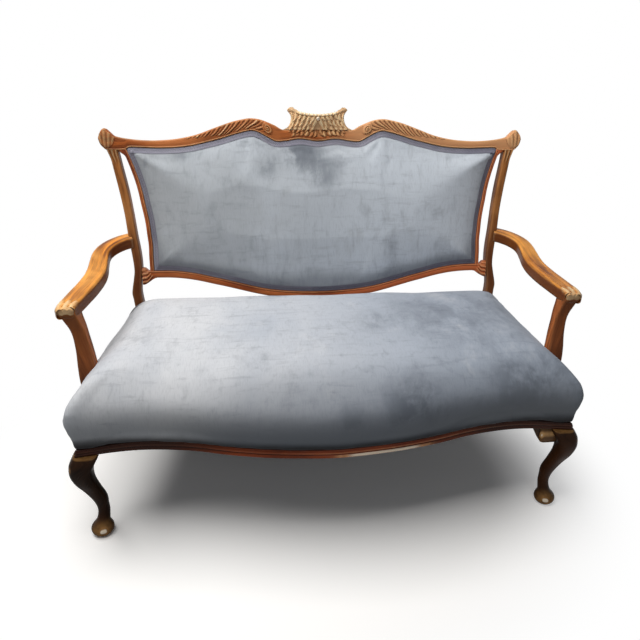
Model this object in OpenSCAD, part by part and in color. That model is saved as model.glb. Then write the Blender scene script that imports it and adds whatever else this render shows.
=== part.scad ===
// Open-arm settee with cabriole front legs, a carved crest rail and a sprung, upholstered seat.
// Millimetres. X runs across, Y from front to back, Z up. The origin is on the floor, midway
// between the foremost and the rearmost point.

/* [Seat] */
// Width over the front corners of the seat moulding
seat_w = 1242; // [1100:1:1400]
// Width over the back posts at the seat rails
back_seat_w = 1104; // [980:1:1240]
// Depth from the front corner of the moulding to the back of the back seat rail
seat_d = 513; // [460:1:580]
// Height of the underside of the seat moulding above the floor
leg_h = 262; // [230:1:310]
// How far the middle of the serpentine front stands forward of the corners
bow = 55; // [30:1:75]
// Height of the seat rails
rail_h = 60; // [50:1:75]
// Thickness of the seat rails
rail_t = 28; // [22:1:34]
// Height of the reeded show-wood moulding round the seat
bead_h = 30; // [24:1:36]
// Thickness of the moulding
bead_t = 11; // [8:1:14]
// Height of the crown of the seat above the top of its rails
crown_h = 145; // [110:1:170]

/* [Legs] */
// Side of the square block at the head of a front leg
block_w = 42; // [36:1:48]
// Width of the knee
knee_w = 51; // [44:1:58]
// Width of the ankle
ankle_w = 27; // [22:1:32]
// Width of the pad foot
foot_w = 53; // [46:1:62]
// How far the knee stands out from the block, along the diagonal
knee_reach = 36; // [28:1:42]
// How far the foot stands out from the ankle, along the diagonal
foot_reach = 8; // [4:1:20]
// How far the back feet stand behind the seat rails
back_foot_set = 85; // [50:1:110]

/* [Back] */
// Lean of the back from upright, in degrees
recline = 14.25; // [8:0.25:18]
// Width over the ears of the crest rail
back_w = 1236; // [1120:1:1380]
// Height of the crest rail's plain underside above the hinge line of the back
panel_h = 462; // [400:1:520]
// Height of the crest rail at its plain stretch
crest_h = 21; // [17:1:28]
// How far the humps of the crest rise above the plain stretch, along the top
hump_h = 62; // [40:1:80]
// How far the underside of the crest rises below the humps
arch_h = 49; // [30:1:60]
// Depth of the crest, stiles and lower rail from front to back
frame_t = 28; // [24:1:34]
// Height of the shell cartouche above the neck of the crest
shell_h = 60; // [45:1:80]
// Width of the shell cartouche at its waist
shell_w = 158; // [120:1:180]
// Number of flutes carved in the shell
flutes = 9; // [5:2:13]
// Width of a back post seen from the front
post_w = 24; // [20:1:30]
// Depth of a back post
post_t = 34; // [28:1:40]
// Show width of the narrow stiles beside the panel
stile_w = 12; // [9:1:16]
// Height of the lower back rail
low_rail_h = 21; // [16:1:26]
// How far the lower back rail dips in its middle
low_dip = 75; // [50:1:90]
// How far the inside back stands out at its middle
back_crown = 30; // [18:1:40]

/* [Arms] */
// Height of the top of the arms above the floor
arm_z = 587; // [550:1:640]
// Thickness of an arm
arm_t = 34; // [28:1:40]
// Greatest width of an arm
arm_w = 52; // [42:1:60]
// Distance of the arm tip behind the front corner
arm_setback = 143; // [110:1:170]
// Width of an arm support
support_w = 29; // [24:1:36]
// Depth of an arm support
support_t = 33; // [28:1:42]

/* [Upholstery] */
// Thickness of the velvet with its lining
cover_t = 2; // [1.5:0.25:3]
// Thickness of webbing, hessian and canvas
cloth_t = 1.8; // [1.2:0.2:2.4]
// Width of a webbing strap
strap_w = 50; // [40:1:60]
// Diameter of the spring wire
wire_d = 3.6; // [3:0.2:4.6]
// Diameter of a seat spring at its ends
spring_d = 84; // [60:1:96]
// Width of the braid round the inside back
braid_w = 14; // [10:1:18]

/* [Hidden] */

mahogany = [0.36, 0.17, 0.08];
dark_mahogany = [0.2, 0.1, 0.06];
gilt_brown = [0.55, 0.4, 0.24];
arm_brown = [0.6, 0.36, 0.17];
beech = [0.78, 0.64, 0.46];
velvet = [0.52, 0.57, 0.64];
braid_grey = [0.42, 0.42, 0.5];
hessian_tan = [0.7, 0.6, 0.42];
steel = [0.55, 0.55, 0.57];

// Clearance of a soft piece from its neighbours, and of a dowel or screw in its bore
gap = 0.3;
fit = 0.1;
// Overrun of every cut
over = 1;
round_fn = 32;

// Heights of the seat
rail_drop = 5;
rail_z = leg_h + rail_drop;
rail_top = rail_z + rail_h;
corner_x = seat_w / 2;
block_x = corner_x - bead_t - block_w / 2;
block_y = bead_t + block_w / 2;
post_block = 42;
post_x = back_seat_w / 2 - post_block / 2;
post_y = seat_d - post_block;
side_lean = (corner_x - bead_t - back_seat_w / 2) / (post_y - bead_t);

// The back leans about a line this far above the rails, level with the seat's crown
hinge_rise = 86;
hinge_set = 16;
hinge_y = post_y + hinge_set;
hinge_z = rail_top + hinge_rise;
lean = tan(recline);

// The crest overhangs the floor behind, and the whole is centred from front to back
cover_bulge = 17;
front_reach = bow + cover_bulge;
back_reach = hinge_y + (panel_h + crest_h + hump_h) * sin(recline) + frame_t * cos(recline);
mid_y = (back_reach - front_reach) / 2;

// Smooth curve through the rows of a table: the first column is the place along it
function row_at(t, x, i = 0) = i >= len(t) - 2 || x <= t[i + 1][0] ? i : row_at(t, x, i + 1);
function row_slope(t, i, k) = let (a = max(i - 1, 0), b = min(i + 1, len(t) - 1))
    (t[b][k] - t[a][k]) / (t[b][0] - t[a][0]);
function smooth(t, x, k = 1) = let (
        i = row_at(t, x),
        h = t[i + 1][0] - t[i][0],
        u = (x - t[i][0]) / h,
        a = t[i][k],
        b = t[i + 1][k],
        da = row_slope(t, i, k) * h,
        db = row_slope(t, i + 1, k) * h
    ) a + u * (da + u * (3 * (b - a) - 2 * da - db + u * (2 * (a - b) + da + db)));
function steps(count) = [for (i = [0 : count]) i / count];
function unit(v) = v / norm(v);
function middle(ring) = [for (p = ring) 1] * ring / len(ring);

// Solid skin over a row of rings that all have the same number of points
module loft(rings) {
    n = len(rings[0]);
    last = (len(rings) - 1) * n;
    tip = len(rings) * n;
    points = concat([for (r = rings) each r], [middle(rings[0]), middle(rings[len(rings) - 1])]);
    sides = [for (i = [0 : len(rings) - 2], j = [0 : n - 1]) let (
            a = i * n + j,
            b = i * n + (j + 1) % n
        ) each [[a, a + n, b + n], [a, b + n, b]]];
    ends = [for (j = [0 : n - 1]) let (k = (j + 1) % n)
        each [[tip, j, k], [tip + 1, last + k, last + j]]];
    polyhedron(points, outwards(points, concat(sides, ends)), convexity = 6);
}

// Faces all turned to look out of the solid, whichever way round its rings run
function outwards(points, faces) = let (
        volume = [for (f = faces) points[f[0]] * cross(points[f[1]], points[f[2]])]
            * [for (f = faces) 1]
    ) volume > 0 ? [for (f = faces) [f[2], f[1], f[0]]] : faces;

// Rounded square of a given width and depth, from an ellipse at 2 to a near square at 6
function power(v, n) = sign(v) * pow(abs(v), 2 / n);
function pad_shape(w, d, n, count) = [for (i = [0 : count - 1]) let (a = 360 * i / count)
    [power(cos(a), n) * w / 2, power(sin(a), n) * d / 2]];

module placed() {
    translate([0, -mid_y, 0]) children();
}

module on_back() {
    placed() translate([0, hinge_y, hinge_z]) rotate([-recline, 0, 0]) children();
}

module mirrored() {
    mirror([1, 0, 0]) children();
}

module both_sides() {
    children();
    mirrored() children();
}

// Serpentine line of the seat front: half-width shares against shares of the bow
front_shares = [[-0.17, 0.87], [0, 1], [0.17, 0.87], [0.29, 0.69], [0.42, 0.39], [0.54, 0.03],
    [0.66, -0.2], [0.76, -0.28], [0.86, -0.22], [1, 0]];
function front_y(x) = -bow * smooth(front_shares, abs(x) / corner_x);
function side_x(y) = corner_x - side_lean * y;

// Show-wood members of the back: a cock bead, a flat and a rounded far edge, with a lip behind
// for the tacks. The first value runs across the member and the second from front to back.
cock_bead = 4;
edge_r = 4.5;
rebate_d = 15;
lip_w = 8;
lip_none = 0.2;
function member(edge, far, lip, t) = let (s = sign(far - edge), soft = min(edge_r, abs(far - edge) / 3)) [
    [edge, cock_bead / 2],
    [edge + s * cock_bead / 3, 0],
    [edge + s * cock_bead, 0],
    [edge + s * cock_bead * 1.3, cock_bead / 3],
    [(edge + far) / 2, cock_bead / 6],
    [far - s * soft, cock_bead / 4],
    [far - s * soft / 4, soft],
    [far, t / 2],
    [far - s * soft / 3, t - soft],
    [far - s * soft, t],
    [edge - s * lip, t],
    [edge - s * lip, rebate_d],
    [edge, rebate_d]];

// Crest rail: shares of half the back's width against shares of the hump and of the arch
crest_top_shares = [[-0.17, 0.5], [0, 0.5], [0.165, 0.5], [0.2, 0.68], [0.235, 0.83], [0.27, 0.95],
    [0.314, 1], [0.356, 0.94], [0.405, 0.82], [0.48, 0.56], [0.56, 0.27], [0.635, 0.1],
    [0.705, 0.02], [0.78, 0], [0.86, 0.06], [0.93, 0.2], [0.948, 0.36], [0.97, 0.53],
    [0.988, 0.4], [1, 0.1]];
crest_low_shares = [[-0.085, 0.53], [0, 0.41], [0.085, 0.53], [0.155, 0.41], [0.2, 0.4],
    [0.235, 0.62], [0.27, 0.86], [0.305, 1], [0.34, 0.94], [0.405, 0.72], [0.45, 0.54],
    [0.525, 0.31], [0.59, 0.13], [0.66, 0.03], [0.74, 0], [0.82, 0.03], [0.87, 0.03],
    [0.885, -0.1], [0.968, -0.1], [0.98, 0.02], [0.992, 0.2], [1, 0.5]];
ear_x = back_w / 2;
function crest_top(x) = panel_h + crest_h + hump_h * smooth(crest_top_shares, abs(x) / ear_x);
function crest_low(x) = panel_h + arch_h * smooth(crest_low_shares, abs(x) / ear_x);
crest_steps = 24;
lip_end_share = 0.83;
// Stations crowd towards the ears and the humps, where the outline turns most
function crest_place(s) = sign(s) * ear_x * (0.82 * abs(s) + 0.18 * pow(abs(s), 0.5)) * 0.998;
function crest_lip(x) = abs(x) < lip_end_share * ear_x ? lip_w : lip_none;
function crest_ring(x) = [for (p = member(crest_low(x), crest_top(x), crest_lip(x), frame_t))
    [x, p[1], p[0]]];

module crest_body() {
    loft([for (i = [-crest_steps : crest_steps]) crest_ring(crest_place(i / crest_steps))]);
}

// Back posts: rows of height, outer and inner face from the centre, front face and depth
// Shares: height up the back, outer face from the seat to the ear, width of the post
post_shares = [[0, 0.03, 1.1], [0.05, 0.07, 1.07], [0.09, 0.11, 1.12], [0.13, 0.07, 1.06],
    [0.18, 0, 0.97], [0.24, -0.06, 0.94], [0.33, -0.02, 1], [0.45, 0.08, 1], [0.6, 0.17, 0.96],
    [0.73, 0.3, 1], [0.87, 0.47, 0.98], [0.93, 0.55, 1], [0.98, 0.68, 1.2], [1.02, 0.8, 1.4]];
back_foot_w = 30;
post_edge = 5;
function rounded(w, d, r) = [for (c = [0 : 3], a = [0, 45, 90]) let (
        sx = c == 0 || c == 3 ? 1 : -1,
        sy = c < 2 ? 1 : -1
    ) [sx * (w / 2 - r) + r * cos(90 * c + a), sy * (d / 2 - r) + r * sin(90 * c + a)]];
function post_ring(z, outer, w, front, d) = [for (p = rounded(w, d, post_edge))
    [outer - w / 2 + p[0], front + d / 2 + p[1], z]];
function post_out(v) = back_seat_w / 2
    + (ear_x - back_seat_w / 2) * smooth(post_shares, v / panel_h);
function post_wide(v) = post_w * smooth(post_shares, v / panel_h, 2);
function upper_post_ring(v) = let (z = v * cos(recline))
    post_ring(hinge_z + z, post_out(v), post_wide(v), hinge_y + lean * z, post_t);
post_steps = 14;
top_margin = 1.02;
function post_rings() = concat(
    [post_ring(0, post_x + post_block / 2 - 6 * fit, back_foot_w, post_y + back_foot_set, back_foot_w),
        post_ring(leg_h * 0.22, post_x + post_block / 2, post_block * 0.76, post_y + back_foot_set * 0.71,
            post_block * 0.76),
        post_ring(leg_h * 0.45, post_x + post_block / 2, post_block * 0.82, post_y + back_foot_set * 0.43,
            post_block * 0.82),
        post_ring(leg_h * 0.7, post_x + post_block / 2, post_block * 0.92, post_y + back_foot_set * 0.16,
            post_block * 0.92),
        post_ring(leg_h * 0.95, post_x + post_block / 2, post_block, post_y, post_block),
        post_ring(rail_top, post_x + post_block / 2, post_block, post_y, post_block),
        post_ring(rail_top + hinge_rise * 0.5, post_x + post_block / 2, post_block * 0.9,
            post_y + (hinge_y - post_y) * 0.25, post_block * 0.9)],
    [for (s = steps(post_steps)) upper_post_ring(s * panel_h * top_margin)]);

// The crest sits on the posts on this level of the back
crest_seat_v = crest_low(0.92 * ear_x);
crest_dowel_d = 10;
crest_dowel_l = 60;
crest_dowel_x = (post_out(crest_seat_v) + post_out(crest_seat_v) - post_wide(crest_seat_v)) / 2;
shell_dowel_x = shell_w * 0.3;
shell_dowel_l = 40;

module post_body() {
    placed() loft(post_rings());
}

// The stretch of a post that an arm is shaped to
module post_seat(low, high) {
    placed() loft([for (r = post_rings()) if (r[0][2] > low && r[0][2] < high) r]);
}

module post_bores() {
    on_back() {
        translate([crest_dowel_x, post_t / 2, crest_seat_v - crest_dowel_l / 2])
            cylinder(d = crest_dowel_d + 2 * fit, h = crest_dowel_l, $fn = round_fn);
        translate([0, -frame_t, crest_seat_v - gap]) cube([back_w, 3 * frame_t, 3 * crest_h]);
    }
    rail_dowel_row(true);
}

module right_back_post() {
    color(mahogany) difference() {
        post_body();
        post_bores();
        arm_screw_bore();
    }
}

module left_back_post() {
    mirrored() right_back_post();
}

// Crest rail with the bores of its dowels
module crest_rail() {
    color(mahogany) difference() {
        on_back() crest_body();
        both_sides() on_back() translate([crest_dowel_x, post_t / 2, crest_seat_v - over])
            cylinder(d = crest_dowel_d + 2 * fit, h = crest_dowel_l / 2 + over, $fn = round_fn);
        both_sides() on_back()
            translate([shell_dowel_x, frame_t / 2, crest_top(0) - shell_dowel_l / 2])
                cylinder(d = crest_dowel_d + 2 * fit, h = shell_dowel_l, $fn = round_fn);
    }
}

// Shell cartouche: a fluted fan that stands on the neck of the crest, waisted at its sides
shell_shares = [[0, 1.2], [0.14, 1.08], [0.4, 1], [0.7, 1.01], [0.88, 1.05], [1, 1.12]];
shell_dip = 9;
shell_bulge = 12;
flute_depth = 2.6;
shell_levels = 8;
shell_across = 27;
shell_t = frame_t - 2 * fit;
function shell_x(u, s) = u * shell_w / 2 * smooth(shell_shares, s);
function shell_front(u, s) = -shell_bulge * (1 - u * u) * (0.35 + 0.65 * s) * (1.25 - 0.25 * s)
    + flute_depth * s * (0.5 + 0.5 * cos(180 * flutes * u));
function shell_level(u, s) = crest_top(0) + fit + s * shell_h
    - s * shell_dip * (1 - u * u) + s * s * flute_depth * cos(180 * flutes * u);
function shell_ring(s) = concat(
    [for (i = [0 : shell_across]) let (u = 2 * i / shell_across - 1)
        [shell_x(u, s), shell_front(u, s), shell_level(u, s)]],
    [for (u = [1, 0.5, 0, -0.5, -1]) [shell_x(u, s), shell_t * (1 - 0.25 * s), shell_level(u, s)]]);

module crest_cartouche() {
    color(gilt_brown) difference() {
        on_back() loft([for (s = steps(shell_levels)) shell_ring(s)]);
        both_sides() on_back()
            translate([shell_dowel_x, frame_t / 2, crest_top(0) - shell_dowel_l / 2])
                cylinder(d = crest_dowel_d + 2 * fit, h = shell_dowel_l, $fn = round_fn);
    }
}

module crest_dowels() {
    slack = 2 * fit;
    color(beech) both_sides() on_back() {
        translate([crest_dowel_x, post_t / 2, crest_seat_v - crest_dowel_l / 2 + slack])
            cylinder(d = crest_dowel_d, h = crest_dowel_l - 2 * slack, $fn = round_fn);
        translate([shell_dowel_x, frame_t / 2, crest_top(0) - shell_dowel_l / 2 + slack])
            cylinder(d = crest_dowel_d, h = shell_dowel_l - 2 * slack, $fn = round_fn);
    }
}

// Lower rail of the back: dips in the middle, and stands up between stile and post at its ends
low_rail_shares = [[-0.07, 0.99], [0, 1], [0.07, 0.99], [0.15, 0.96], [0.23, 0.91], [0.31, 0.83],
    [0.385, 0.71], [0.46, 0.57], [0.54, 0.42], [0.61, 0.3], [0.69, 0.16], [0.77, 0.06],
    [0.84, 0.012], [0.9, 0], [0.95, 0], [1, 0]];
low_rail_v = 109;
low_end_rise = 14;
low_rail_x = post_out(low_rail_v) - post_wide(low_rail_v);
// Width of the open slot between a stile and its post, at the foot and at the crest
slot_foot_w = 22.5;
slot_top_w = 12.4;
stile_foot_x = low_rail_x - slot_foot_w;
low_rail_steps = 18;
function low_top(x) = low_rail_v - low_dip * smooth(low_rail_shares, abs(x) / low_rail_x);
function low_lip(x) = abs(x) < lip_end_share * low_rail_x ? lip_w : lip_none;
function low_ring(x) = [for (p = member(low_top(x), low_top(x) - low_rail_h, low_lip(x), frame_t))
    [x, p[1], p[0]]];

module lower_back_rail() {
    reach = low_rail_x - stile_foot_x;
    color(mahogany) on_back() {
        loft([for (i = [low_rail_steps : -1 : -low_rail_steps])
            low_ring(i / low_rail_steps * low_rail_x)]);
        both_sides() translate([stile_foot_x + fit, cock_bead * 0.6, low_rail_v - cock_bead * 1.6])
            cube([reach - 2 * fit, frame_t - cock_bead, low_end_rise + cock_bead * 1.6]);
    }
}

// Pierced and scrolled corner brackets under the ends of the lower rail
bracket_w = 40;
bracket_h = 20;
ogee_steps = 10;
// The brackets stop at the innermost place of the posts beside them
function bracket_level(s) = low_rail_v - low_rail_h - s * bracket_h;
bracket_x = min([for (s = steps(ogee_steps)) post_out(bracket_level(s)) - post_wide(bracket_level(s))])
    - fit;
module lower_rail_brackets() {
    color(gilt_brown) both_sides() on_back()
        translate([bracket_x, frame_t, low_rail_v - low_rail_h - fit]) rotate([90, 0, 0])
            linear_extrude(frame_t) ogee(bracket_w, bracket_h);
}

// Quarter scroll that fills the corner left of a post and under a rail
module ogee(w, h) {
    polygon(concat([[0, 0], [0, -h]],
        [for (s = steps(ogee_steps)) [-w * (0.2 + 0.8 * s) + 0.06 * w * sin(360 * s),
            -h * (1 - s) * (0.9 - 0.3 * s) - 0.1 * h * cos(90 * s)]]));
}

// Stiles of the panel, from the lower rail up to the crest
stile_shares = [[0, 0], [0.13, 0], [0.22, -0.02], [0.31, 0.02], [0.4, 0.06], [0.48, 0.13],
    [0.57, 0.23], [0.66, 0.32], [0.75, 0.45], [0.84, 0.62], [0.9, 0.75], [0.96, 0.89], [1, 1]];
stile_top_x = post_out(crest_seat_v) - post_wide(crest_seat_v) - slot_top_w;
stile_steps = 14;
stile_foot_v = low_rail_v + gap;
function stile_out(s) = stile_foot_x + (stile_top_x - stile_foot_x) * smooth(stile_shares, s);
function stile_ring(s) = let (v = stile_foot_v + s * (crest_seat_v - fit - stile_foot_v))
    [for (p = member(stile_out(s) - stile_w, stile_out(s),
        s < 0.05 || s > 0.93 ? lip_none : lip_w, frame_t)) [p[0], p[1], v]];

module right_back_stile() {
    color(mahogany) on_back() loft([for (s = steps(stile_steps)) stile_ring(s)]);
}

module left_back_stile() {
    mirrored() right_back_stile();
}

// Arms: rows of place behind the tip, centre line out from the tip line, width, drop of the top
arm_tip_x = 630;
arm_back_y = hinge_y + lean * (arm_z + 0.3 * arm_t - hinge_z) + post_t / 2;
arm_root_rise = 0.8 * arm_t;
arm_root_z = arm_z + arm_root_rise - arm_t / 2;
arm_root_x = post_out((arm_root_z - hinge_z) / cos(recline));
arm_sink = 3;
arm_in = arm_tip_x - arm_root_x + arm_sink;
arm_len = arm_back_y - arm_setback;
// Shares along the centre line: inward of the tip, behind the tip, width, rise of the top
arm_shares = [[0, 0.04, 0, 0.5, -0.06], [0.012, 0.02, 0.004, 0.72, 0], [0.03, 0, 0.015, 0.86, 0.02],
    [0.07, 0, 0.05, 0.92, 0.02], [0.13, 0.04, 0.11, 0.94, 0.01], [0.24, 0.12, 0.22, 0.98, 0.02],
    [0.36, 0.22, 0.34, 1, 0.06], [0.48, 0.29, 0.47, 1, 0.14], [0.58, 0.28, 0.57, 0.98, 0.25],
    [0.68, 0.22, 0.67, 0.92, 0.4], [0.76, 0.18, 0.76, 0.86, 0.52], [0.83, 0.24, 0.83, 0.82, 0.62],
    [0.89, 0.42, 0.9, 0.79, 0.7], [0.95, 0.7, 0.96, 0.76, 0.76], [1, 1, 1, 0.74, 0.8]];
// Share of the length against share of the thickness, which swells from a rounded nose
arm_nose_shares = [[0, 0.4], [0.012, 0.64], [0.03, 0.8], [0.08, 0.95], [0.14, 1], [1, 1]];
arm_nose_end_share = 0.35;
arm_steps = 20;
arm_edge = 6;
function arm_place(s) = [arm_tip_x - arm_in * smooth(arm_shares, s), arm_setback
    + arm_len * smooth(arm_shares, s, 2)];
function arm_ring(s) = let (
        e = 0.004,
        p = arm_place(s),
        t = unit(arm_place(min(1, s + e)) - arm_place(max(0, s - e))),
        side = s < 0.02 ? [1, 0] : s > 0.995 ? [0, 1] : unit([t[1], -t[0]]),
        w = arm_w * smooth(arm_shares, s, 3),
        rise = arm_t * smooth(arm_shares, s, 4),
        full = smooth(arm_nose_shares, s),
        t_here = arm_t * full
    ) [for (q = rounded(w, t_here, arm_edge * full)) [p[0] + side[0] * q[0],
        p[1] + side[1] * q[0], arm_z + rise - t_here / 2 + q[1]]];
function arm_stations() = [for (s = steps(arm_steps)) pow(s, 1.15)];

module arm_body(end_share = 1) {
    placed() loft([for (s = arm_stations()) if (s <= end_share) arm_ring(s)]);
}

module right_arm() {
    color(arm_brown) difference() {
        arm_body();
        post_seat(arm_root_z - arm_t * 1.5, arm_root_z + arm_t * 1.5);
        arm_screw_bore();
        arm_dowel_bores(0);
    }
}

module left_arm() {
    mirrored() right_arm();
}

// One screw through each post into the root of its arm, sunk from the inside of the post
screw_d = 5;
screw_head_d = 10;
screw_head_l = 3;
arm_screw_l = 70;
arm_screw_z = arm_root_z;
arm_screw_sunk = 8;
arm_post_x = arm_root_x - post_wide((arm_root_z - hinge_z) / cos(recline));
arm_screw_x = arm_post_x + arm_screw_sunk;
module arm_screw_shape(extra) {
    placed() translate([arm_screw_x, arm_back_y, arm_screw_z]) rotate([0, 90, 0]) {
        cylinder(d = screw_d + 2 * extra, h = arm_screw_l + extra, $fn = round_fn);
        translate([0, 0, -extra])
            cylinder(d = screw_head_d + 2 * extra, h = screw_head_l + 2 * extra, $fn = round_fn);
    }
}

module arm_screw_bore() {
    arm_screw_shape(fit);
    placed() translate([arm_screw_x - post_w, arm_back_y, arm_screw_z]) rotate([0, 90, 0])
        cylinder(d = screw_head_d + 2 * fit, h = post_w, $fn = round_fn);
}

// Plugs that fill the holes over the heads, flush with the inside of the posts
module arm_screw_plugs() {
    color(mahogany) both_sides() placed()
        translate([arm_post_x + fit, arm_back_y, arm_screw_z]) rotate([0, 90, 0])
            cylinder(d = screw_head_d, h = arm_screw_sunk - 3 * fit, $fn = round_fn);
}

module arm_screws() {
    color(steel) both_sides() arm_screw_shape(0);
}

// Arm supports: shares of height, then place inward and behind the head, width and depth
support_top = arm_z - arm_t / 2;
support_seat_z = arm_z - arm_t;
support_foot_z = rail_top + fit;
support_shares = [[0, 1.05, -1.2, 1.35, 1.2], [0.3, 0.95, -1.15, 1.3, 1.15],
    [0.45, 0.86, -0.95, 1.15, 1.05], [0.58, 0.7, -0.5, 1, 0.97], [0.7, 0.5, -0.15, 0.93, 0.93],
    [0.8, 0.33, 0.05, 0.92, 0.95], [0.9, 0.14, 0.05, 0.93, 1], [1, 0, 0, 0.95, 1.1]];
support_sway = 28;
support_head_in = 12;
support_head_back = 20;
support_head = [arm_tip_x - support_head_in, arm_setback + support_head_back];
support_steps = 10;
function support_ring(s, grow) = let (
        x = support_head[0] - support_sway * smooth(support_shares, s),
        y = support_head[1] + support_sway * smooth(support_shares, s, 2),
        w = support_w * smooth(support_shares, s, 3) + 2 * grow,
        d = support_t * smooth(support_shares, s, 4) + 2 * grow
    ) [for (q = rounded(w, d, arm_edge)) [x + q[0], y + q[1],
        support_foot_z + s * (support_top - support_foot_z)]];
module support_body(grow, top_share = 1) {
    placed() loft([for (s = steps(support_steps)) if (s <= top_share) support_ring(s, grow)]);
}

// Space kept free in the upholstery round a support
support_room_share = 0.7;
module support_room() {
    both_sides() support_body(gap, support_room_share);
}

// Dowels: head of the support into the arm, and foot of the support into the side rail
arm_dowel_d = 10;
arm_dowel_l = 40;
support_foot = [support_head[0] - support_sway * support_shares[0][1],
    support_head[1] + support_sway * support_shares[0][2]];
module arm_dowel_places(extra, trim) {
    placed() {
        translate([support_head[0], support_head[1], support_seat_z - arm_dowel_l / 2 + trim])
            cylinder(d = arm_dowel_d + 2 * extra, h = arm_dowel_l - 2 * trim, $fn = round_fn);
        translate([support_foot[0], support_foot[1], support_foot_z - arm_dowel_l / 2 + trim])
            cylinder(d = arm_dowel_d + 2 * extra, h = arm_dowel_l - 2 * trim, $fn = round_fn);
    }
}

module arm_dowel_bores(trim) {
    arm_dowel_places(fit, trim);
}

module arm_dowels() {
    color(beech) both_sides() arm_dowel_places(0, 2 * fit);
}

module right_arm_support() {
    color(arm_brown) difference() {
        support_body(0);
        arm_body(arm_nose_end_share);
        arm_dowel_bores(0);
    }
}

module left_arm_support() {
    mirrored() right_arm_support();
}

// Stations along the front of the seat, each with its place and its inward normal: the
// serpentine's own along the front, and one mitre at each corner
front_steps = 16;
function front_normal(x) = let (e = bead_t / 10, d = front_y(x + e) - front_y(x - e))
    unit([-d, 2 * e]);
side_normal = unit([-1, -side_lean]);
corner_normal = let (f = front_normal(corner_x - bead_t)) (f + side_normal) / (1 + f * side_normal);
front_places = concat(
    [[[-corner_x, 0], [-corner_normal[0], corner_normal[1]]]],
    [for (i = [1 - front_steps : front_steps - 1]) let (x = i / front_steps * corner_x)
        [[x, front_y(x)], front_normal(x)]],
    [[[corner_x, 0], corner_normal]]);
function front_line(depth) = [for (q = front_places) q[0] + depth * q[1]];
function front_run_line(depth) = [for (q = front_places) if (abs(q[0][0]) < corner_x)
    q[0] + depth * q[1]];
function backwards(list) = [for (i = [len(list) - 1 : -1 : 0]) list[i]];
function side_face(y, depth) = [side_x(y) + depth / side_normal[0], y];

// Seat rails: the front one is sawn to the serpentine line, the others are straight
rail_end_x = block_x - block_w / 2;
module front_seat_rail() {
    color(beech) difference() {
        placed() intersection() {
            translate([0, 0, rail_z]) linear_extrude(rail_h) polygon(concat(front_run_line(bead_t),
                backwards(front_run_line(bead_t + rail_t))));
            translate([-rail_end_x, -seat_d, rail_z]) cube([2 * rail_end_x, 2 * seat_d, rail_h]);
        }
        both_sides() rail_dowel_row(true);
        both_sides() corner_screw_row(fit, 0);
    }
}

module back_seat_rail() {
    inner = back_seat_w / 2 - post_block;
    color(beech) difference() {
        placed() translate([-inner, seat_d - rail_t, rail_z]) cube([2 * inner, rail_t, rail_h]);
        both_sides() rail_dowel_row(true);
        both_sides() corner_screw_row(fit, 0);
    }
}

module right_side_rail() {
    front = bead_t + block_w;
    color(beech) difference() {
        placed() translate([0, 0, rail_z]) linear_extrude(rail_h) polygon([
            side_face(front, bead_t), side_face(post_y, bead_t),
            side_face(post_y, bead_t + rail_t), side_face(front, bead_t + rail_t)]);
        rail_dowel_row(true);
        arm_dowel_bores(0);
        corner_screw_row(fit, 0);
    }
}

module left_side_rail() {
    mirrored() right_side_rail();
}

// Two dowels at each end of each rail
rail_dowel_d = 10;
rail_dowel_l = 50;
front_level_shares = [0.2, 0.6];
side_level_shares = [0.4, 0.8];
module rail_dowel(p, turn, level_shares, bore) {
    slack = bore ? 0 : 2 * fit;
    grow = bore ? 2 * fit : 0;
    for (k = level_shares)
        placed() translate([p[0], p[1], rail_z + k * rail_h]) rotate([90, 0, turn])
            translate([0, 0, -rail_dowel_l / 2 + slack])
                cylinder(d = rail_dowel_d + grow, h = rail_dowel_l - 2 * slack, $fn = round_fn);
}

module rail_dowel_row(bore) {
    side_turn = atan(side_lean);
    front_end = bead_t + block_w;
    rail_dowel([rail_end_x, front_y(rail_end_x) + bead_t + rail_t / 2], 90, front_level_shares, bore);
    rail_dowel([back_seat_w / 2 - post_block, seat_d - rail_t / 2], 90, front_level_shares, bore);
    rail_dowel([side_x(front_end) - bead_t - rail_t / 2, front_end], side_turn, side_level_shares, bore);
    rail_dowel([side_x(post_y) - bead_t - rail_t / 2, post_y], side_turn, side_level_shares, bore);
}

module rail_dowels() {
    color(beech) both_sides() rail_dowel_row(false);
}

// Moulding: depth behind its face as shares of its thickness, height as shares of its height.
// A round swell stands over a narrow bead.
bead_profile_shares = [[0.3, 0], [0.1, 0.03], [0.04, 0.1], [0.12, 0.18], [0.26, 0.22], [0.04, 0.28],
    [0, 0.42], [0.08, 0.6], [0.26, 0.8], [0.5, 1], [1, 1], [1, 0]];
function bead_ring(p, n) = [for (q = bead_profile_shares)
    [p[0] + n[0] * q[0] * bead_t, p[1] + n[1] * q[0] * bead_t, leg_h + q[1] * bead_h]];
module front_moulding() {
    color(dark_mahogany) placed() loft([for (q = front_places) bead_ring(q[0], q[1])]);
}

module right_side_moulding() {
    color(dark_mahogany) placed() loft([bead_ring([corner_x, 0], corner_normal),
        bead_ring([side_x(post_y / 2), post_y / 2], side_normal),
        bead_ring([side_x(post_y - fit), post_y - fit], side_normal)]);
}

module left_side_moulding() {
    mirrored() right_side_moulding();
}

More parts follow.
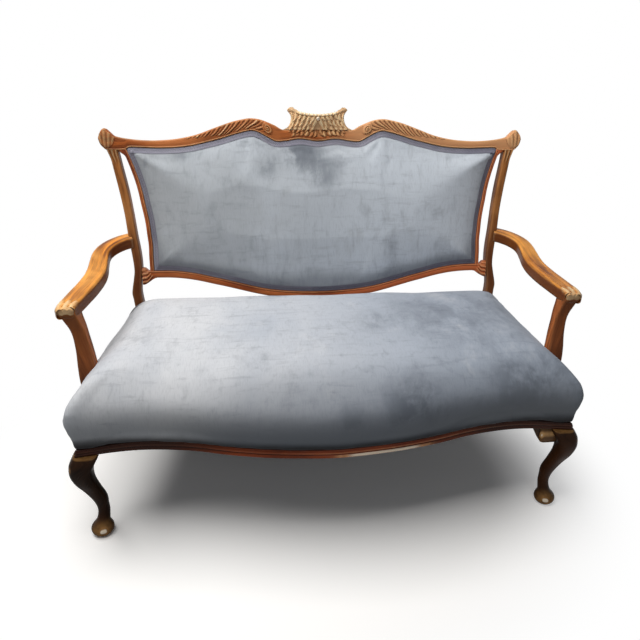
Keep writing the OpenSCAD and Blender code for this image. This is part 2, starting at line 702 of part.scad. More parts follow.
// Cabriole leg: rows of height, distance out along the diagonal, half width and squareness
leg_rows = [[0, foot_reach, foot_w * 0.3, 2], [leg_h * 0.015, foot_reach, foot_w * 0.41, 2],
    [leg_h * 0.05, foot_reach, foot_w * 0.49, 2], [leg_h * 0.085, foot_reach, foot_w * 0.47, 2],
    [leg_h * 0.115, foot_reach * 0.85, foot_w * 0.39, 2],
    [leg_h * 0.145, foot_reach * 0.6, foot_w * 0.31, 2.1],
    [leg_h * 0.185, foot_reach * 0.3, ankle_w * 0.52, 2.2],
    [leg_h * 0.25, 0, ankle_w * 0.48, 2.3], [leg_h * 0.32, 0, ankle_w * 0.48, 2.4],
    [leg_h * 0.425, knee_reach * 0.1, ankle_w * 0.57, 2.5],
    [leg_h * 0.565, knee_reach * 0.44, knee_w * 0.36, 2.6],
    [leg_h * 0.715, knee_reach * 0.84, knee_w * 0.44, 2.8],
    [leg_h * 0.84, knee_reach, knee_w * 0.49, 2.8],
    [leg_h * 0.935, knee_reach * 0.9, knee_w * 0.5, 2.8],
    [leg_h, knee_reach * 0.6, knee_w * 0.5, 3]];
leg_levels = [0, 0.015, 0.035, 0.06, 0.09, 0.12, 0.15, 0.19, 0.25, 0.31, 0.38, 0.45, 0.52, 0.6,
    0.68, 0.76, 0.83, 0.89, 0.95, 1];
leg_sides = 16;
// How far the shoulder under the block stands in from the block
block_set = 3;
function leg_ring(s, grow) = let (
        z = s * leg_h,
        out = smooth(leg_rows, z) / sqrt(2),
        w = 2 * (smooth(leg_rows, z, 2) + grow)
    ) [for (p = pad_shape(w, w, smooth(leg_rows, z, 3), leg_sides))
        [block_x + out + p[0], block_y - out + p[1], z]];
module leg_blank() {
    placed() {
        loft([for (s = leg_levels) leg_ring(s, 0)]);
        shoulder = leg_h * 0.1;
        hull() {
            translate([block_x, block_y, leg_h - fit])
                linear_extrude(fit) square(block_w - 2 * block_set, center = true);
            translate([block_x, block_y, leg_h - shoulder])
                cylinder(d = block_w * 0.6, h = shoulder, $fn = round_fn);
        }
        translate([0, 0, leg_h]) linear_extrude(rail_drop + rail_h) intersection() {
            translate([block_x - block_w / 2, -seat_d]) square([seat_w, seat_d + bead_t + block_w]);
            polygon(concat(front_line(bead_t), [side_face(post_y, bead_t), [0, post_y]]));
        }
    }
}

module right_front_leg() {
    color(dark_mahogany) difference() {
        leg_blank();
        rail_dowel_row(true);
    }
}

module left_front_leg() {
    mirrored() right_front_leg();
}

// Knee bracket beside the right-hand leg, under the front rail. Its fellow on the left is missing.
knee_bracket_w = 48;
knee_bracket_h = 54;
knee_bracket_t = 20;
knee_tuck = 22;
knee_outline_shares = [[-0.26, -1], [-0.42, -0.84], [-0.55, -0.6], [-0.78, -0.28], [-1, 0]];
module knee_bracket() {
    color(dark_mahogany) placed() difference() {
        translate([block_x - block_w / 2, front_y(rail_end_x) + bead_t + knee_bracket_t, leg_h - fit])
            rotate([90, 0, 0]) linear_extrude(knee_bracket_t) polygon(concat(
                [[knee_tuck, 0], [knee_tuck, -knee_bracket_h]],
                [for (q = knee_outline_shares) [q[0] * knee_bracket_w, q[1] * knee_bracket_h]]));
        loft([for (s = leg_levels) if (s > 0.7) leg_ring(s, gap)]);
        translate([block_x - block_w / 2 - gap, block_y - block_w / 2 - gap, leg_h - block_w])
            cube([block_w + 2 * gap, block_w + 2 * gap, 2 * block_w]);
    }
}

// Corner blocks glued across the corners of the seat frame, each with two screws
corner_block_leg = 62;
corner_block_h = 36;
corner_screw_l = 45;
corner_z = rail_z + (rail_h - corner_block_h) / 2;
corner_screw_in = 30;
corner_screw_sunk = 20;
function inner_side(y) = side_face(y, bead_t + rail_t + gap)[0];
function inner_front(x) = front_y(x) + bead_t + rail_t + 2 * gap;
front_block_x = rail_end_x - gap;
front_block_y = bead_t + block_w + gap;
back_block_x = back_seat_w / 2 - post_block - gap;
back_block_y = post_y - gap;
inner_back = seat_d - rail_t - gap;
module front_corner_block() {
    polygon(concat(
        [for (s = steps(4)) let (x = front_block_x - (1 - s) * corner_block_leg) [x, inner_front(x)]],
        [[front_block_x, front_block_y], [inner_side(front_block_y), front_block_y],
            [inner_side(front_block_y + corner_block_leg), front_block_y + corner_block_leg]]));
}

module back_corner_block() {
    polygon([[back_block_x - corner_block_leg, inner_back], [back_block_x, inner_back],
        [back_block_x, back_block_y], [inner_side(back_block_y), back_block_y],
        [inner_side(back_block_y - corner_block_leg), back_block_y - corner_block_leg]]);
}

// Screws of the right-hand corner blocks: place of the head, turn, share of the rail's height
corner_level_shares = [0.38, 0.62];
corner_screw_places = [
    let (x = front_block_x - corner_screw_in)
        [x, inner_front(x) + corner_screw_sunk, 0, corner_level_shares[0]],
    let (y = front_block_y + corner_screw_in)
        [inner_side(y) - corner_screw_sunk, y, 90, corner_level_shares[1]],
    [back_block_x - corner_screw_in, inner_back - corner_screw_sunk, 180, corner_level_shares[0]],
    let (y = back_block_y - corner_screw_in)
        [inner_side(y) - corner_screw_sunk, y, 90, corner_level_shares[1]]];

// Each screw, or with a way behind its head, the hole that it is driven through
module corner_screw_row(extra, way) {
    placed() for (s = corner_screw_places)
        translate([s[0], s[1], rail_z + s[3] * rail_h]) rotate([90, 0, s[2]]) {
            cylinder(d = screw_d + 2 * extra, h = corner_screw_l + extra, $fn = round_fn);
            translate([0, 0, -way - extra])
                cylinder(d = screw_head_d + 2 * extra, h = way + screw_head_l + 2 * extra,
                    $fn = round_fn);
        }
}

module corner_blocks() {
    color(beech) both_sides() difference() {
        placed() translate([0, 0, corner_z]) linear_extrude(corner_block_h) {
            front_corner_block();
            back_corner_block();
        }
        corner_screw_row(fit, corner_block_leg);
    }
}

module corner_block_screws() {
    color(steel) both_sides() corner_screw_row(0, 0);
}

// Plan of the upholstered seat: serpentine front, rounded corners, straight sides and back
seat_corner_r = 26;
seat_back_y = seat_d + cover_t + gap;
half_front = 8;
function front_run() = [for (i = [-half_front : half_front]) let (
        x = i / half_front * (corner_x - seat_corner_r)
    ) [x, front_y(x)]];
function right_run() = concat(
    [for (a = [22.5, 45, 67.5]) let (x = corner_x - seat_corner_r, y = front_y(x) + seat_corner_r)
        [x + seat_corner_r * sin(a), y - seat_corner_r * cos(a)]],
    [for (s = [0.08, 0.3, 0.55, 0.8, 0.94]) [side_x(s * seat_back_y), s * seat_back_y]],
    [[side_x(seat_back_y) - seat_corner_r * 0.3, seat_back_y - seat_corner_r * 0.3]]);
back_run_shares = [0.92, 0.4, -0.4, -0.92];
function back_run() = [for (k = back_run_shares) [k * side_x(seat_back_y), seat_back_y]];
function flipped(run) = [for (i = [len(run) - 1 : -1 : 0]) [-run[i][0], run[i][1]]];
seat_plan = concat(front_run(), right_run(), back_run(), flipped(right_run()));
seat_mid = [corner_x - seat_d / 2, seat_d * 0.45];
function within(x, limit) = max(-limit, min(limit, x));
// A point of a plan drawn in towards its middle line, by a share of the way and by a distance
function inward(p, mid, share, inset) = let (t = [within(p[0], mid[0]), mid[1]] - p)
    p + share * t + inset * unit(t);

// Section of the seat's cushion
cushion_base = leg_h + bead_h + gap;
cushion_h = rail_top + crown_h - cushion_base;
seat_fall = 2;
// Shares of its height against shares of its bulge, and against shares of the way inwards
cushion_out_shares = [[0, 0], [0.12, 0.5], [0.3, 0.93], [0.45, 1], [0.57, 0.9], [0.68, 0.6],
    [0.78, 0.2], [1, 0]];
cushion_in_shares = [[0, 0], [0.45, 0], [0.57, 0.01], [0.68, 0.04], [0.78, 0.09], [0.86, 0.16],
    [0.93, 0.3], [0.975, 0.52], [1, 0.78]];
cushion_level_shares = [0, 0.12, 0.3, 0.45, 0.57, 0.68, 0.78, 0.86, 0.93, 0.975, 1];
// The bulge dies away over the back rail
function bulge_at(s, y) = cover_bulge * smooth(cushion_out_shares, s)
    * within_share((seat_back_y - y) / rail_t);
function within_share(u) = max(0, min(1, u));
function cushion_ring(s, skin) = [for (p = seat_plan) let (
        q = inward(p, seat_mid, smooth(cushion_in_shares, s), skin - bulge_at(s, p[1]))
    ) [q[0], q[1], cushion_base + s * (cushion_h - skin) - s * s * seat_fall * q[1] / seat_d]];
module cushion(skin, drop) {
    placed() loft(concat([[for (p = cushion_ring(0, skin)) p - [0, 0, drop]]],
        [for (s = cushion_level_shares) if (s > 0 || drop > 0) cushion_ring(s, skin)]));
}

// Space kept free round the posts, from the rails to above the cushion
module post_room() {
    side = post_block * 2;
    both_sides() placed() loft([for (v = [-0.28, -0.1, 0, 0.15, 0.3]) let (
            z = hinge_z + v * panel_h,
            front = v < 0 ? post_y + (hinge_y - post_y) * max(0, 1 + v / 0.1) * 0.5
                : hinge_y + lean * v * panel_h,
            inner = v < 0 ? back_seat_w / 2 - post_block : back_seat_w / 2 - post_w * 1.12
        ) [[inner - gap, front - gap, z], [inner + side, front - gap, z],
            [inner + side, front + side, z], [inner - gap, front + side, z]]]);
}

// Space kept free in front of and under the lower back rail, which the seat is packed against
module back_room(grow) {
    low_foot = low_rail_v - low_dip - low_rail_h - grow;
    on_back() translate([-seat_w / 2, -grow, low_foot]) cube([seat_w, seat_d, seat_d]);
}

module seat_cover() {
    color(velvet) difference() {
        cushion(0, 0);
        difference() {
            cushion(cover_t, over);
            back_room(gap + cover_t);
        }
        back_room(gap);
        post_room();
        support_room();
    }
}

module seat_stuffing() {
    color(hessian_tan) difference() {
        cushion(cover_t + gap, 0);
        translate([-seat_w, -seat_w, 0]) cube([2 * seat_w, 2 * seat_w, rail_top + gap]);
        hessian_dome(cloth_t + gap);
        back_room(cover_t + 2 * gap);
        post_room();
        support_room();
    }
}

// Hessian over the springs, tacked along the tops of the rails
dome_h = 60;
dome_edge = bead_t + rail_t * 0.55;
dome_shares = [[0, 0], [0.8, 0.13], [1, 0.34]];
function dome_ring(s, grow) = [for (p = seat_plan) let (
        q = inward(p, seat_mid, smooth(dome_shares, s), dome_edge - grow)
    ) [q[0], q[1], rail_top + s * dome_h + (s > 0 ? grow : 0)]];
module hessian_dome(grow) {
    placed() loft(concat([[for (p = dome_ring(0, grow)) p - [0, 0, over]]],
        [for (row = dome_shares) dome_ring(row[0], grow)]));
}

module seat_hessian() {
    color(hessian_tan) difference() {
        intersection() {
            hessian_dome(cloth_t);
            placed() translate([-corner_x, -bow, rail_top + fit]) cube([seat_w, seat_w, dome_h * 2]);
        }
        hessian_dome(0);
        post_room();
        support_room();
    }
}

// Webbing: straps from front to back, and straps across below them
strap_count = 8;
cross_strap_count = 4;
strap_margin = 8;
module seat_webbing() {
    color(hessian_tan) placed() {
        pitch = 2 * back_block_x / strap_count;
        for (i = [0 : strap_count - 1]) {
            x = (i + 0.5) * pitch - back_block_x;
            y = max(front_y(x - strap_w / 2), front_y(x + strap_w / 2)) + bead_t + strap_margin;
            translate([x - strap_w / 2, y, rail_z - cloth_t])
                cube([strap_w, seat_d - strap_margin - y, cloth_t]);
        }
        cross_pitch = (inner_back - front_block_y) / cross_strap_count;
        for (i = [0 : cross_strap_count - 1]) {
            y = front_block_y + (i + 0.5) * cross_pitch;
            x = side_x(y + strap_w / 2) - bead_t - strap_margin;
            translate([-x, y - strap_w / 2, rail_z - 2 * cloth_t]) cube([2 * x, strap_w, cloth_t]);
        }
    }
}

// Hourglass springs, stood on the webbing and reaching the hessian
spring_turns = 3.5;
spring_facets = 8;
spring_sides = 3;
spring_cols = 6;
spring_rows = 2;
spring_h = rail_h + dome_h - fit;
spring_waist_share = 0.6;
function spring_r(t) = (spring_d - wire_d) / 2
    * (spring_waist_share + (1 - spring_waist_share) * pow(abs(2 * t - 1), 1.5));
function spring_level(t) = wire_d / 2 + (spring_h - wire_d) * within_share((t - 0.2) / 0.6);
function spring_ring(t) = let (a = 360 * spring_turns * t, r = spring_r(t), z = spring_level(t))
    [for (k = [0 : spring_sides - 1]) let (b = 360 * k / spring_sides)
        [(r + wire_d / 2 * cos(b)) * cos(a), (r + wire_d / 2 * cos(b)) * sin(a),
            z + wire_d / 2 * sin(b)]];
module seat_springs() {
    turns = spring_turns * spring_facets;
    col_pitch = 2 * (back_block_x - strap_margin) / spring_cols;
    row_pitch = spring_d * 2.1;
    color(steel) placed()
        for (i = [0 : spring_cols - 1], j = [0 : spring_rows - 1])
            translate([(i + 0.5 - spring_cols / 2) * col_pitch,
                seat_mid[1] + (j + 0.5 - spring_rows / 2) * row_pitch, rail_z])
                loft([for (t = steps(turns)) spring_ring(t)]);
}

// Dust cover under the webbing, cut away round the legs
dust_t = 0.8;
module dust_cover() {
    color([0.15, 0.15, 0.15]) placed() translate([0, 0, rail_z - 2 * cloth_t - dust_t])
        linear_extrude(dust_t) difference() {
            polygon([for (p = seat_plan) inward(p, seat_mid, 0, bead_t + strap_margin)]);
            for (m = [0, 1]) mirror([m, 0]) {
                translate([rail_end_x - gap, -bow]) square([seat_w, bow + front_block_y]);
                translate([back_block_x, back_block_y]) square(seat_w);
            }
        }
}

// Panel of the back: outline of the opening inside the show-wood, on the plane of the back
panel_side_shares = [0.12, 0.25, 0.42, 0.6, 0.77, 0.9];
// Places along the top of the panel, closest where the arches turn
panel_top_shares = [0.085, 0.155, 0.21, 0.255, 0.3, 0.345, 0.405, 0.48, 0.56, 0.65, 0.76];
// Ease of the panel's outline inside the wood
panel_ease = 1.1;
// Places along the foot of the panel, as shares of half its width
panel_low_shares = [0, 0.14, 0.3, 0.46, 0.61, 0.74, 0.84, 0.92];
stile_inner_foot = stile_foot_x - stile_w;
stile_inner_top = stile_top_x - stile_w;
function stile_v(s) = stile_foot_v + s * (crest_seat_v - fit - stile_foot_v);
function panel_side() = [for (s = panel_side_shares)
    [stile_out(s) - stile_w - panel_ease, stile_v(s)]];
panel_top_run = concat([stile_inner_top - panel_ease],
    [for (k = backwards(panel_top_shares)) k * ear_x], [0],
    [for (k = panel_top_shares) -k * ear_x], [panel_ease - stile_inner_top]);
panel_plan = concat(
    [for (k = concat([-1], -backwards(panel_low_shares), [for (k = panel_low_shares) if (k > 0) k], [1]))
        let (x = k * (stile_inner_foot - panel_ease)) [x, low_top(x) + panel_ease]],
    panel_side(),
    [for (x = panel_top_run) [x, crest_low(x) - panel_ease]],
    flipped(panel_side()));
panel_mid = [stile_inner_foot * 0.5, (low_rail_v + panel_h) * 0.5];

// Section of the inside back: inset against the share of its crown, level with the wood at 0
back_edge_d = 4;
// Shares of its crown, of the way inwards, and of the braid's width that its edge takes
back_shares = [[0, 0, 0], [0.1, 0, 0.5], [0.25, 0, 1.08], [0.48, 0.06, 1.3], [0.7, 0.16, 1.3],
    [0.87, 0.34, 1.1], [0.96, 0.58, 0.7], [1, 0.84, 0]];
function back_level(s) = back_edge_d - s * (back_edge_d + back_crown);
function back_ring(row, skin) = [for (p = panel_plan) let (
        q = inward(p, panel_mid, row[1], gap + skin + row[2] * braid_w)
    ) [q[0], back_level(row[0]) + skin, q[1]]];
module back_pad(skin, behind) {
    edge = back_ring(back_shares[0], skin);
    on_back() loft(concat([[for (p = edge) [p[0], behind, p[2]]]],
        [for (row = back_shares) back_ring(row, skin)]));
}

canvas_d = rebate_d - 3 * cloth_t;
module inside_back_cover() {
    color(velvet) difference() {
        back_pad(0, canvas_d - gap);
        back_pad(cover_t, canvas_d + over);
    }
}

module back_stuffing() {
    color(hessian_tan) back_pad(cover_t + gap, canvas_d - gap);
}

module panel_sheet(inset, depth, t) {
    on_back() translate([0, depth + t, 0]) rotate([90, 0, 0]) linear_extrude(t)
        polygon([for (p = panel_plan) inward(p, panel_mid, 0, inset)]);
}

module back_canvas() {
    color(hessian_tan) panel_sheet(gap, canvas_d, cloth_t);
}

module outside_back_cover() {
    color(velvet) panel_sheet(-lip_w, frame_t, cover_t / 2);
}

// Webbing across the lips behind the panel: upright straps in front of level ones
back_strap_count = 7;
back_cross_shares = [0.25, 0.5, 0.75];
module back_webbing() {
    color(hessian_tan) on_back() {
        pitch = 2 * stile_inner_foot / back_strap_count;
        for (i = [0 : back_strap_count - 1]) {
            x = (i + 0.5) * pitch - stile_inner_foot;
            low = max(low_top(x - strap_w / 2), low_top(x + strap_w / 2)) - lip_w / 2;
            high = min(crest_low(x - strap_w / 2), crest_low(x + strap_w / 2)) + lip_w / 2;
            translate([x - strap_w / 2, rebate_d - 2 * cloth_t, low + lip_w])
                cube([strap_w, cloth_t, high - low - 2 * lip_w]);
        }
        for (s = back_cross_shares) {
            x = min([for (e = [-1, 0, 1]) stile_out(s + e / 2 * strap_w / panel_h)])
                - stile_w - panel_ease;
            translate([-x, rebate_d - cloth_t, stile_v(s) - strap_w / 2])
                cube([2 * x, cloth_t, strap_w]);
        }
    }
}

// Braid round the inside back, laid over the edge of the velvet
braid_t = 1.6;
braid_rows = [back_shares[0], back_shares[1], back_shares[2]];
module back_braid() {
    section = concat(
        [for (row = braid_rows) [gap + row[2] * braid_w, back_level(row[0]) - gap]],
        [for (row = backwards(braid_rows)) [gap + row[2] * braid_w,
            back_level(row[0]) - gap - braid_t]]);
    n = len(section);
    rings = [for (p = panel_plan) [for (q = section) let (at = inward(p, panel_mid, 0, q[0]))
        [at[0], q[1], at[1]]]];
    m = len(rings);
    points = [for (r = rings) each r];
    faces = [for (i = [0 : m - 1], j = [0 : n - 1]) let (
            a = i * n + j,
            b = i * n + (j + 1) % n,
            c = ((i + 1) % m) * n + j,
            d = ((i + 1) % m) * n + (j + 1) % n
        ) each [[a, c, d], [a, d, b]]];
    color(braid_grey) on_back() polyhedron(points, outwards(points, faces), convexity = 6);
}

crest_rail();
crest_cartouche();
left_back_post();
right_back_post();
left_back_stile();
right_back_stile();
lower_back_rail();
lower_rail_brackets();
left_arm();
right_arm();
left_arm_support();
right_arm_support();
front_seat_rail();
back_seat_rail();
left_side_rail();
right_side_rail();
front_moulding();
left_side_moulding();
right_side_moulding();
left_front_leg();
right_front_leg();
knee_bracket();
corner_blocks();
corner_block_screws();
rail_dowels();
crest_dowels();
arm_dowels();
arm_screws();
arm_screw_plugs();
seat_webbing();
seat_springs();
seat_hessian();
seat_stuffing();
seat_cover();
dust_cover();
back_webbing();
back_canvas();
back_stuffing();
inside_back_cover();
outside_back_cover();
back_braid();
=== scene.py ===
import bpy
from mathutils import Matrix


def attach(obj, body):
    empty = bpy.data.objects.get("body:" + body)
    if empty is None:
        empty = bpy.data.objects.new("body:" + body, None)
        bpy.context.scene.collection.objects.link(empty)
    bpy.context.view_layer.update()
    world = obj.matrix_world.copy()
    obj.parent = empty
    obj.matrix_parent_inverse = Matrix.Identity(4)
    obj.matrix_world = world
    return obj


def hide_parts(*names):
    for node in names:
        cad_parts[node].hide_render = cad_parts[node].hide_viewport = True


bl_info = {
    "name": "Carved Open-Arm Settee",
    "version": (1, 0, 0),
    "blender": (4, 5, 0),
    "location": "View3D > Sidebar > Settee",
    "description": "Dresses the settee's solids with carving, velvet, braid and varnish",
    "category": "Object",
}

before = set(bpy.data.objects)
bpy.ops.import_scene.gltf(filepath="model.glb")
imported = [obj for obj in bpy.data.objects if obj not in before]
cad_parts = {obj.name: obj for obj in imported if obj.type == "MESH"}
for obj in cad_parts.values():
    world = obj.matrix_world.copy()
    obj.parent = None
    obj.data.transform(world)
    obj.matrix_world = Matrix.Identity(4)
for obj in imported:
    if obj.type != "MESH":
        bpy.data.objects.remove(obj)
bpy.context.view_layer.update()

import math
import random

import bpy
import numpy as np
from bpy.props import FloatProperty, FloatVectorProperty, PointerProperty
from mathutils import Matrix, Vector, noise

ROOT = "root"

# Sizes of the frame in millimetres, as the solids have them
MM = 0.001
CORNER_X = 621.0
BACK_HALF = 552.0
SEAT_D = 513.0
LEG_H = 262.0
BOW = 55.0
RAIL_TOP = 327.0
BEAD_H = 30.0
BEAD_T = 11.0
CROWN_H = 145.0
BLOCK_X = 589.0
BLOCK_Y = 32.0
BLOCK_W = 42.0
POST_BLOCK = 42.0
POST_Y = 471.0
SIDE_LEAN = 0.126087
HINGE_RISE = 86.0
HINGE_Y = 487.0
HINGE_Z = 413.0
RECLINE = math.radians(14.25)
MID_Y = 288.146
EAR_X = 618.0
PANEL_H = 462.0
CREST_H = 21.0
HUMP_H = 62.0
ARCH_H = 49.0
FRAME_T = 28.0
SHELL_H = 60.0
SHELL_W = 158.0
POST_W = 24.0
POST_T = 34.0
STILE_W = 12.0
LOW_H = 21.0
LOW_DIP = 75.0
BACK_CROWN = 30.0
ARM_Z = 587.0
ARM_T = 34.0
ARM_W = 52.0
ARM_SETBACK = 143.0
ARM_TIP_X = 630.0
SUPPORT_W = 29.0
SUPPORT_T = 33.0
BRAID_W = 14.0
GAP = 0.3


# ---------------------------------------------------------------- curves and sections


def smooth(table, x, k=1):
    """Value of column k at place x on the smooth curve through the rows of a table."""
    i = 0
    while i < len(table) - 2 and x > table[i + 1][0]:
        i += 1

    def slope(j):
        a, b = table[max(j - 1, 0)], table[min(j + 1, len(table) - 1)]
        return (b[k] - a[k]) / (b[0] - a[0])

    a, b = table[i], table[i + 1]
    h = b[0] - a[0]
    u = (x - a[0]) / h
    da, db = slope(i) * h, slope(i + 1) * h
    rise = b[k] - a[k]
    return a[k] + u * (da + u * (3 * rise - 2 * da - db + u * (da + db - 2 * rise)))


def step(low, high, x):
    """0 below low, 1 above high, and a smooth rise between."""
    u = min(1.0, max(0.0, (x - low) / (high - low)))
    return u * u * (3 - 2 * u)


def hill(x, middle, width):
    """1 in the middle, and a smooth fall to 0 on both sides."""
    return math.exp(-((x - middle) / width) ** 2)


def arch(t):
    """Height of a half round, from 1 in its middle to 0 at its edges and beyond."""
    return math.sqrt(max(0.0, 1 - t ** 2))


def placed(p):
    return (p[0], p[1] - MID_Y, p[2])


def on_back(p):
    """A point given across, behind the front of the back and up along it."""
    c, s = math.cos(RECLINE), math.sin(RECLINE)
    return (p[0], HINGE_Y - MID_Y + p[1] * c + p[2] * s, HINGE_Z - p[1] * s + p[2] * c)


def arc(cx, cy, rx, ry, start, end, count):
    return [(cx + rx * math.cos(math.radians(start + (end - start) * i / (count - 1))),
             cy + ry * math.sin(math.radians(start + (end - start) * i / (count - 1))))
            for i in range(count)]


def rounded(w, d, r, per_side=5, per_corner=5):
    """Section of a rounded bar, corner by corner."""
    points = []
    for c in range(4):
        sx = 1 if c in (0, 3) else -1
        sy = 1 if c < 2 else -1
        points += arc(sx * (w / 2 - r), sy * (d / 2 - r), r, r, 90 * c, 90 * c + 90, per_corner)
    out = []
    for i, p in enumerate(points):
        q = points[(i + 1) % len(points)]
        out.append(p)
        if i % per_corner == per_corner - 1:
            out += [(p[0] + (q[0] - p[0]) * j / (per_side + 1),
                     p[1] + (q[1] - p[1]) * j / (per_side + 1)) for j in range(1, per_side + 1)]
    return out


CREST_TOP = [(-0.17, 0.5), (0, 0.5), (0.165, 0.5), (0.2, 0.68), (0.235, 0.83), (0.27, 0.95),
             (0.314, 1), (0.356, 0.94), (0.405, 0.82), (0.48, 0.56), (0.56, 0.27), (0.635, 0.1),
             (0.705, 0.02), (0.78, 0), (0.86, 0.06), (0.93, 0.2), (0.948, 0.36), (0.97, 0.53),
             (0.988, 0.4), (1, 0.1)]
CREST_LOW = [(-0.085, 0.53), (0, 0.41), (0.085, 0.53), (0.155, 0.41), (0.2, 0.4), (0.235, 0.62),
             (0.27, 0.86), (0.305, 1), (0.34, 0.94), (0.405, 0.72), (0.45, 0.54), (0.525, 0.31),
             (0.59, 0.13), (0.66, 0.03), (0.74, 0), (0.82, 0.03), (0.87, 0.03), (0.885, -0.1),
             (0.968, -0.1), (0.98, 0.02), (0.992, 0.2), (1, 0.5)]
LOW_RAIL = [(-0.07, 0.99), (0, 1), (0.07, 0.99), (0.15, 0.96), (0.23, 0.91), (0.31, 0.83),
            (0.385, 0.71), (0.46, 0.57), (0.54, 0.42), (0.61, 0.3), (0.69, 0.16), (0.77, 0.06),
            (0.84, 0.012), (0.9, 0), (0.95, 0), (1, 0)]
POST = [(0, 0.03, 1.1), (0.05, 0.07, 1.07), (0.09, 0.11, 1.12), (0.13, 0.07, 1.06),
        (0.18, 0, 0.97), (0.24, -0.06, 0.94), (0.33, -0.02, 1), (0.45, 0.08, 1), (0.6, 0.17, 0.96),
        (0.73, 0.3, 1), (0.87, 0.47, 0.98), (0.93, 0.55, 1), (0.98, 0.68, 1.2), (1.02, 0.8, 1.4)]
STILE = [(0, 0), (0.13, 0), (0.22, -0.02), (0.31, 0.02), (0.4, 0.06), (0.48, 0.13), (0.57, 0.23),
         (0.66, 0.32), (0.75, 0.45), (0.84, 0.62), (0.9, 0.75), (0.96, 0.89), (1, 1)]
FRONT = [(-0.17, 0.87), (0, 1), (0.17, 0.87), (0.29, 0.69), (0.42, 0.39), (0.54, 0.03),
         (0.66, -0.2), (0.76, -0.28), (0.86, -0.22), (1, 0)]
LOW_RAIL_V = 109.0


def crest_top(x):
    return PANEL_H + CREST_H + HUMP_H * smooth(CREST_TOP, abs(x) / EAR_X)


def crest_low(x):
    return PANEL_H + ARCH_H * smooth(CREST_LOW, abs(x) / EAR_X)


def post_out(v):
    return BACK_HALF + (EAR_X - BACK_HALF) * smooth(POST, v / PANEL_H)


def post_wide(v):
    return POST_W * smooth(POST, v / PANEL_H, 2)


LOW_RAIL_X = post_out(LOW_RAIL_V) - post_wide(LOW_RAIL_V)
STILE_FOOT_X = LOW_RAIL_X - 22.5
CREST_SEAT_V = crest_low(0.92 * EAR_X)
STILE_TOP_X = post_out(CREST_SEAT_V) - post_wide(CREST_SEAT_V) - 12.4


def low_top(x):
    return LOW_RAIL_V - LOW_DIP * smooth(LOW_RAIL, abs(x) / LOW_RAIL_X)


def stile_out(s):
    return STILE_FOOT_X + (STILE_TOP_X - STILE_FOOT_X) * smooth(STILE, s)


def stile_v(s):
    return LOW_RAIL_V + s * (CREST_SEAT_V - LOW_RAIL_V)


def front_y(x):
    return -BOW * smooth(FRONT, abs(x) / CORNER_X)


def side_x(y):
    return CORNER_X - SIDE_LEAN * y


def unit2(v):
    n = math.hypot(*v)
    return (v[0] / n, v[1] / n)


def front_normal(x):
    d = front_y(x + 1) - front_y(x - 1)
    return unit2((-d, 2))


# ---------------------------------------------------------------- making and marking meshes

EDGE_GAIN = 4
SAME_PLACE = 0.000001


def clear_selection():
    if bpy.context.object and bpy.context.object.mode != "OBJECT":
        bpy.ops.object.mode_set(mode="OBJECT")
    bpy.ops.object.select_all(action="DESELECT")


def only(piece):
    clear_selection()
    piece.select_set(True)
    bpy.context.view_layer.objects.active = piece


def edit(piece, action="DESELECT"):
    """Edit mode on one piece, with none of it selected or all of it."""
    only(piece)
    bpy.ops.object.mode_set(mode="EDIT")
    bpy.ops.mesh.select_mode(type="VERT")
    bpy.ops.mesh.select_all(action=action)


def face_out(piece):
    """Turns all faces of a piece the right way out."""
    edit(piece, "SELECT")
    bpy.ops.mesh.normals_make_consistent(inside=False)
    bpy.ops.object.mode_set(mode="OBJECT")


def applied(piece, kind, **settings):
    """Adds a modifier to a piece and applies it."""
    only(piece)
    modifier = piece.modifiers.new(kind.title(), kind)
    for key, value in settings.items():
        setattr(modifier, key, value)
    bpy.ops.object.modifier_apply(modifier=modifier.name)


def new_grid(name, across, along):
    clear_selection()
    bpy.ops.mesh.primitive_grid_add(x_subdivisions=across, y_subdivisions=along, size=1)
    piece = bpy.context.object
    piece.name = piece.data.name = name
    piece.matrix_world = Matrix.Identity(4)
    return piece


def read(items, key, width=1, kind=float):
    """A row of values from each point, edge or corner of a mesh."""
    values = np.empty(len(items) * width, kind)
    items.foreach_get(key, values)
    return values.reshape(-1, width)


def points_of(piece):
    return read(piece.data.vertices, "co", 3)


def normals_of(piece):
    return read(piece.data.vertex_normals, "vector", 3)


def set_points(piece, co):
    piece.data.vertices.foreach_set("co", np.ascontiguousarray(co).reshape(-1))
    piece.data.update()


def keep(piece, name, values):
    """Keeps a value for each point of a piece, which its finish then reads."""
    kept = piece.data.attributes.new(name, "FLOAT", "POINT")
    kept.data.foreach_set("value", values)


def along(points):
    """How far each point of a line is from its start."""
    steps = np.linalg.norm(np.diff(points, axis=0), axis=1)
    return np.concatenate([[0], np.cumsum(steps)])


def skin(name, rings, where, ring_loop=False):
    """A grid wrapped along a row of rings: its seam is joined, and its ends are closed unless
    the last ring meets the first. Points are in millimetres before where places them. A
    point's fourth value is its mark, kept as the relief attribute."""
    rings = [ring + ring[:1] for ring in (rings + rings[:1] if ring_loop else rings)]
    points = np.array([[where(p) for p in ring] for ring in rings], float) * MM
    piece = new_grid(name, len(rings[0]) - 1, len(rings) - 1)
    mesh = piece.data
    mesh.vertices.foreach_set("co", points.reshape(-1))
    girth = np.array([along(row) for row in points])
    run = along(points[:, 0] if ring_loop else points.mean(axis=1))
    grain = np.stack([girth, np.repeat(run[:, None], len(girth[0]), axis=1)], axis=2)
    corner = read(mesh.loops, "vertex_index", 1, np.int32)[:, 0]
    mesh.uv_layers[0].data.foreach_set("uv", grain.reshape(-1, 2)[corner].reshape(-1))
    keep(piece, "relief", [p[3] if len(p) > 3 else 0.0 for ring in rings for p in ring])
    edit(piece, "SELECT")
    bpy.ops.mesh.remove_doubles(threshold=SAME_PLACE)
    if not ring_loop:
        bpy.ops.mesh.select_all(action="DESELECT")
        bpy.ops.mesh.select_non_manifold()
        bpy.ops.mesh.edge_face_add()
    face_out(piece)
    return piece


